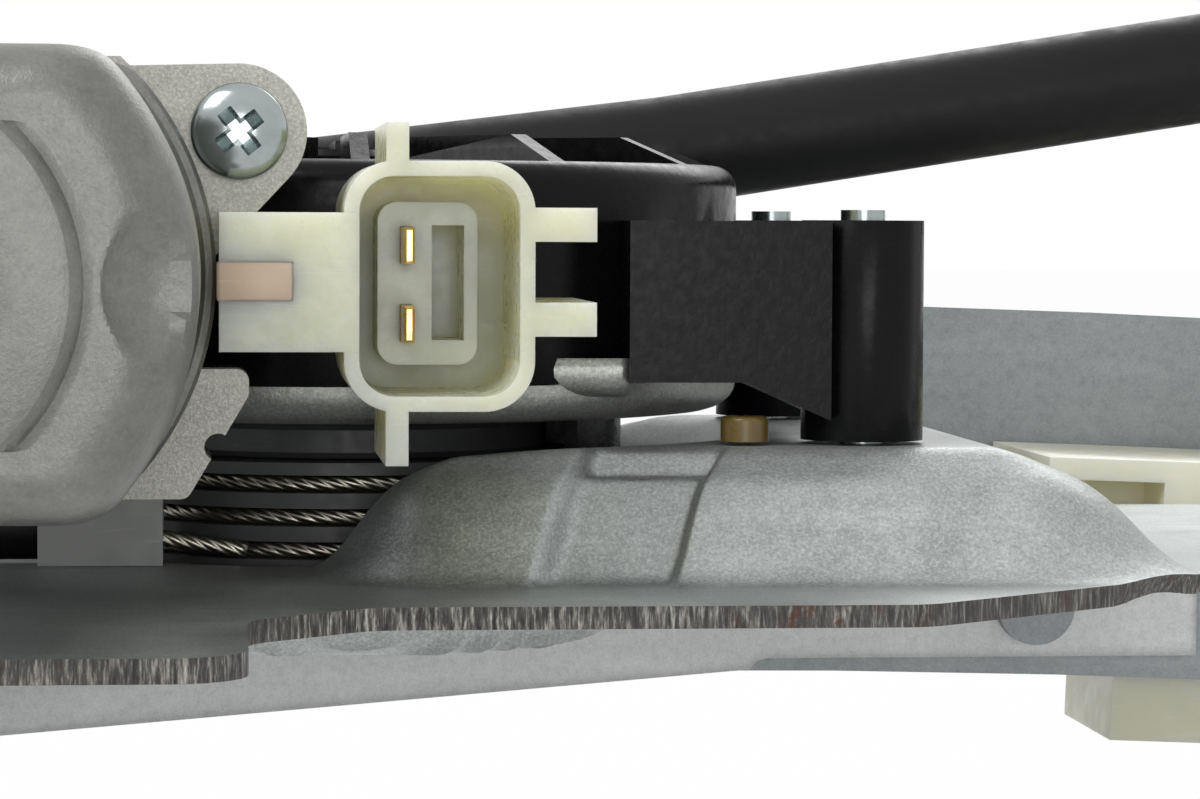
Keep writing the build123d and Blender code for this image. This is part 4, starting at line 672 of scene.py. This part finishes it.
def arc_wall(name, radius, wall, low, high, start, stop, material):
    """An upright curved wall round the drum axis, with softened top edges."""
    section = [(radius, low), (radius, high - 0.3), (radius - 0.3, high), (radius - wall + 0.3, high)]
    section += [(radius - wall, high - 0.3), (radius - wall, low)]
    steps = max(8, int(abs(stop - start) / 2))
    verts, faces = [], []
    count = len(section)
    for i in range(steps + 1):
        turn = math.radians(start + (stop - start) * i / steps)
        for reach, height in section:
            x, y = DRUM_X + reach * math.cos(turn), DRUM_Y + reach * math.sin(turn)
            verts.append((x * MM, y * MM, (PLATE_TOP + height) * MM))
    for i in range(steps):
        for k in range(count):
            m = (k + 1) % count
            faces.append((i * count + k, (i + 1) * count + k, (i + 1) * count + m, i * count + m))
    faces.append(tuple(range(count)))
    faces.append(tuple(steps * count + k for k in range(count))[::-1])
    mesh = bpy.data.meshes.new(name)
    mesh.from_pydata(verts, [], faces)
    piece = finished(name, mesh, (material,), 30.0)
    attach(piece, "base")


# The dark wall below the cover is a guessed dark sheet put in as painted shade for the shadow under the cover; the dark
# rim seen behind the housing's ribs is also a guess.
arc_wall("shade_wall_under_cover", 25.8, 1.4, 8.2, 12.7, -38.0, 100.0, black_plastic)
arc_wall("housing_rim", 35.6, 1.6, 35.5, 37.7, 70.0, 168.0, black_plastic)


def make_insert():
    """The tan contact carrier in the plug's side, with eased edges."""
    low = Vector((-42.2, -124.72, PLATE_TOP + 23.7))
    high = Vector((-36.1, -121.9, PLATE_TOP + 27.0))
    block = bmesh.new()
    bmesh.ops.create_cube(block, size=1.0)
    for vert in block.verts:
        vert.co = Vector([(l + h) / 2 + c * (h - l) for l, h, c in zip(low, high, vert.co)]) * MM
    bmesh.ops.bevel(block, geom=block.edges[:], offset=0.35 * MM, segments=3, profile=0.5, affect="EDGES")
    mesh = bpy.data.meshes.new("insert")
    block.to_mesh(mesh)
    block.free()
    piece = finished("contact_insert", mesh, (tan,), 50.0)
    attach(piece, "base")
    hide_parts("brush_insert")


make_insert()


def eased(name, width, angle=32.0, segments=2):
    """Softens the moulded or drawn edges of a CAD piece."""
    piece = nodes[name]
    weld = piece.modifiers.new("joined", "WELD")
    weld.merge_threshold = 2e-6
    bevel = piece.modifiers.new("eased", "BEVEL")
    bevel.width = width * MM
    bevel.segments = segments
    bevel.limit_method = "ANGLE"
    bevel.angle_limit = math.radians(angle)
    bevel.harden_normals = True


for name, width in (("gear_housing", 0.35), ("connector_body", 0.3), ("brush_plate", 0.3), ("carrier", 0.4)):
    eased(name, width)


# Wire rope
ROPE_RADIUS = 0.75
STRANDS = 6
LAY = 9.0
DRUM_WRAP = 20.75
GROOVES = (6.9, 3.95, 1.0, -1.95)
RAIL_CENTRE_Z = 28.5 - 1500.0
LANE_RADIUS = 1506.0
LANE_Y = 8.0
PULLEY_ANGLE = 253.0 / 1500.0
PULLEY_WRAP = 15.26
HOLDER_RUN = 49.0


def rope_mesh(name, points, closed=False):
    """A six-strand wire rope along points in millimetres: lobed strands that twist with the length."""
    sides = STRANDS * 6
    count = len(points)
    verts, faces = [], []
    travelled = 0.0
    normal = None
    length = sum((points[(i + 1) % count] - points[i]).length for i in range(count if closed else count - 1))
    turns = length / LAY
    if closed:
        turns = round(turns)
    for i, point in enumerate(points):
        ahead = points[(i + 1) % count] if closed or i < count - 1 else points[i]
        behind = points[i - 1] if closed or i > 0 else points[i]
        tangent = (ahead - behind).normalized()
        if normal is None:
            normal = tangent.orthogonal().normalized()
            if closed:
                normal = Vector((0.0, 0.0, 1.0))
        normal = (normal - tangent * normal.dot(tangent)).normalized()
        side = tangent.cross(normal)
        if i:
            travelled += (point - points[i - 1]).length
        twist = 2.0 * math.pi * turns * travelled / length
        for k in range(sides):
            angle = 2.0 * math.pi * k / sides
            lobe = abs(math.sin(STRANDS * angle / 2.0))
            radius = ROPE_RADIUS * (0.80 + 0.20 * lobe ** 0.6)
            turn = angle + twist
            verts.append((point + normal * radius * math.cos(turn) + side * radius * math.sin(turn)) * MM)
    rings = count if closed else count - 1
    for i in range(rings):
        j = (i + 1) % count
        for k in range(sides):
            m = (k + 1) % sides
            faces.append((i * sides + k, i * sides + m, j * sides + m, j * sides + k))
    if not closed:
        faces.append(tuple(range(sides))[::-1])
        faces.append(tuple((count - 1) * sides + k for k in range(sides)))
    mesh = bpy.data.meshes.new(name)
    mesh.from_pydata(verts, [], faces)
    mesh.materials.append(rope_steel)
    for polygon in mesh.polygons:
        polygon.use_smooth = True
    piece = bpy.data.objects.new(name, mesh)
    bpy.context.scene.collection.objects.link(piece)
    return piece


def ring_points(height):
    """One turn of rope on the drum, at a groove's height."""
    steps = 220
    return [
        Vector((
            DRUM_X + DRUM_WRAP * math.cos(2 * math.pi * k / steps),
            DRUM_Y + DRUM_WRAP * math.sin(2 * math.pi * k / steps),
            PLATE_TOP + height,
        ))
        for k in range(steps)
    ]


def straight_points(start, end):
    """Close points along a straight stretch of rope."""
    start, end = Vector(start), Vector(end)
    steps = max(2, int((end - start).length / 0.6))
    return [start.lerp(end, k / steps) for k in range(steps + 1)]


def rail_points():
    """The rope's line: a holder, round one end pulley, along the rail, round the other, and back to its holder."""
    points = []

    def lane(side, along, across):
        """A place near a pulley, by its run along the rail and its place across it."""
        angle = side * PULLEY_ANGLE
        return Vector((
            LANE_RADIUS * math.sin(angle) + along * math.cos(angle),
            across,
            RAIL_CENTRE_Z + LANE_RADIUS * math.cos(angle) - along * math.sin(angle),
        ))

    pulley_y = LANE_Y - PULLEY_WRAP
    for side in (-1, 1):
        runs = [HOLDER_RUN - 0.8 * k for k in range(int(HOLDER_RUN / 0.8))]
        part = [lane(side, -side * run, LANE_Y - 2 * PULLEY_WRAP) for run in runs]
        for k in range(61):
            turn = math.pi * k / 60
            part.append(lane(side, side * PULLEY_WRAP * math.sin(turn), pulley_y - PULLEY_WRAP * math.cos(turn)))
        if side < 0:
            points += part
            steps = 620
            for k in range(1, steps):
                angle = -PULLEY_ANGLE + 2 * PULLEY_ANGLE * k / steps
                x, z = LANE_RADIUS * math.sin(angle), RAIL_CENTRE_Z + LANE_RADIUS * math.cos(angle)
                points.append(Vector((x, LANE_Y, z)))
        else:
            points += part[::-1]
    return points


windings = [rope_mesh(f"drum_rope_{k + 1}", ring_points(height), True) for k, height in enumerate(GROOVES)]
for winding in windings:
    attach(winding, "drum_group")
    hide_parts("drum_windings")
rail_rope = rope_mesh("rail_rope", rail_points())
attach(rail_rope, "base")
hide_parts("rail_cable")
leads = (
    ("near_lead_rope", (-39.4, DRUM_Y - DRUM_WRAP, PLATE_TOP + 1.0), (-53.8, DRUM_Y - DRUM_WRAP, PLATE_TOP + 3.2)),
    ("far_lead_rope", (-39.4, DRUM_Y + DRUM_WRAP, PLATE_TOP + 6.9), (-53.8, DRUM_Y + DRUM_WRAP, PLATE_TOP + 6.9)),
)
for name, start, end in leads:
    lead = rope_mesh(name, straight_points(start, end))
    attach(lead, "base")
    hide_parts("cable_leads")


# Camera: the photograph's view, close to the motor's rear
camera_data = bpy.data.cameras.new("camera")
camera_data.sensor_width = 36.0
camera_data.lens = 36.0 * 3875.0 / 1200.0
camera_data.clip_start = 0.01
camera = bpy.data.objects.new("camera", camera_data)
bpy.context.scene.collection.objects.link(camera)
right = Vector((0.99497, -0.10004, 0.00456))
up = Vector((0.0, 0.04553, 0.99896))
back = right.cross(up)
camera.matrix_world = Matrix(
    (
        (right.x, up.x, back.x, -42.7 * MM),
        (right.y, up.y, back.y, -430.0 * MM),
        (right.z, up.z, back.z, (PLATE_TOP + 30.0) * MM),
        (0.0, 0.0, 0.0, 1.0),
    )
)
bpy.context.scene.camera = camera


# Floor and light
def seen_rays(tree, ray):
    """One for the rays that see the background: camera, glossy and transmission rays."""
    both = maths(tree, "MAXIMUM", ray.outputs["Is Camera Ray"], ray.outputs["Is Glossy Ray"])
    return maths(tree, "MAXIMUM", both, ray.outputs["Is Transmission Ray"])


def make_floor():
    """A pale floor that shows white behind the object and keeps its shadow."""
    mesh = bpy.data.meshes.new("floor")
    half = 6.0
    mesh.from_pydata([(-half, -half, 0), (half, -half, 0), (half, half, 0), (-half, half, 0)], [], [(0, 1, 2, 3)])
    floor = bpy.data.objects.new("floor", mesh)
    bpy.context.scene.collection.objects.link(floor)
    material, tree, shader = new_material("floor")
    shader.inputs["Base Color"].default_value = (0.93, 0.93, 0.93, 1.0)
    shader.inputs["Roughness"].default_value = 0.9
    glow = tree.nodes.new("ShaderNodeEmission")
    ray = tree.nodes.new("ShaderNodeLightPath")
    share = maths(tree, "MULTIPLY", seen_rays(tree, ray), 0.97)
    blend = tree.nodes.new("ShaderNodeMixShader")
    tree.links.new(share, blend.inputs["Fac"])
    tree.links.new(shader.outputs["BSDF"], blend.inputs[1])
    tree.links.new(glow.outputs["Emission"], blend.inputs[2])
    tree.links.new(blend.outputs["Shader"], tree.nodes["Material Output"].inputs["Surface"])
    mesh.materials.append(material)


def lamp(name, place, target, size, power, colour=(1.0, 1.0, 1.0)):
    """An area lamp, turned to its target."""
    data = bpy.data.lights.new(name, "AREA")
    data.shape = "RECTANGLE"
    data.size, data.size_y = size
    data.energy = power
    data.color = colour
    light = bpy.data.objects.new(name, data)
    light.location = place
    light.rotation_euler = (Vector(target) - Vector(place)).to_track_quat("-Z", "Y").to_euler()
    bpy.context.scene.collection.objects.link(light)


make_floor()
lamp("key", (-0.42, -0.42, 0.62), (-0.02, -0.08, 0.05), (0.4, 0.35), 3.2)
lamp("fill", (-0.02, -0.75, 0.13), (-0.03, -0.10, 0.06), (0.25, 0.25), 0.75)
lamp("rear", (0.30, 0.55, 0.55), (0.0, -0.02, 0.05), (0.6, 0.4), 2.2)

world = bpy.data.worlds.new("studio")
bpy.context.scene.world = world
world.use_nodes = True
tree = world.node_tree
background = tree.nodes["Background"]
background.inputs["Color"].default_value = (1.0, 1.0, 1.0, 1.0)
background.inputs["Strength"].default_value = 0.34
seen = tree.nodes.new("ShaderNodeBackground")
seen.inputs["Color"].default_value = (1.0, 1.0, 1.0, 1.0)
seen.inputs["Strength"].default_value = 1.0
path = tree.nodes.new("ShaderNodeLightPath")
choose = tree.nodes.new("ShaderNodeMixShader")
tree.links.new(seen_rays(tree, path), choose.inputs["Fac"])
tree.links.new(background.outputs["Background"], choose.inputs[1])
tree.links.new(seen.outputs["Background"], choose.inputs[2])
tree.links.new(choose.outputs["Shader"], tree.nodes["World Output"].inputs["Surface"])
bpy.context.scene.view_settings.view_transform = "Standard"
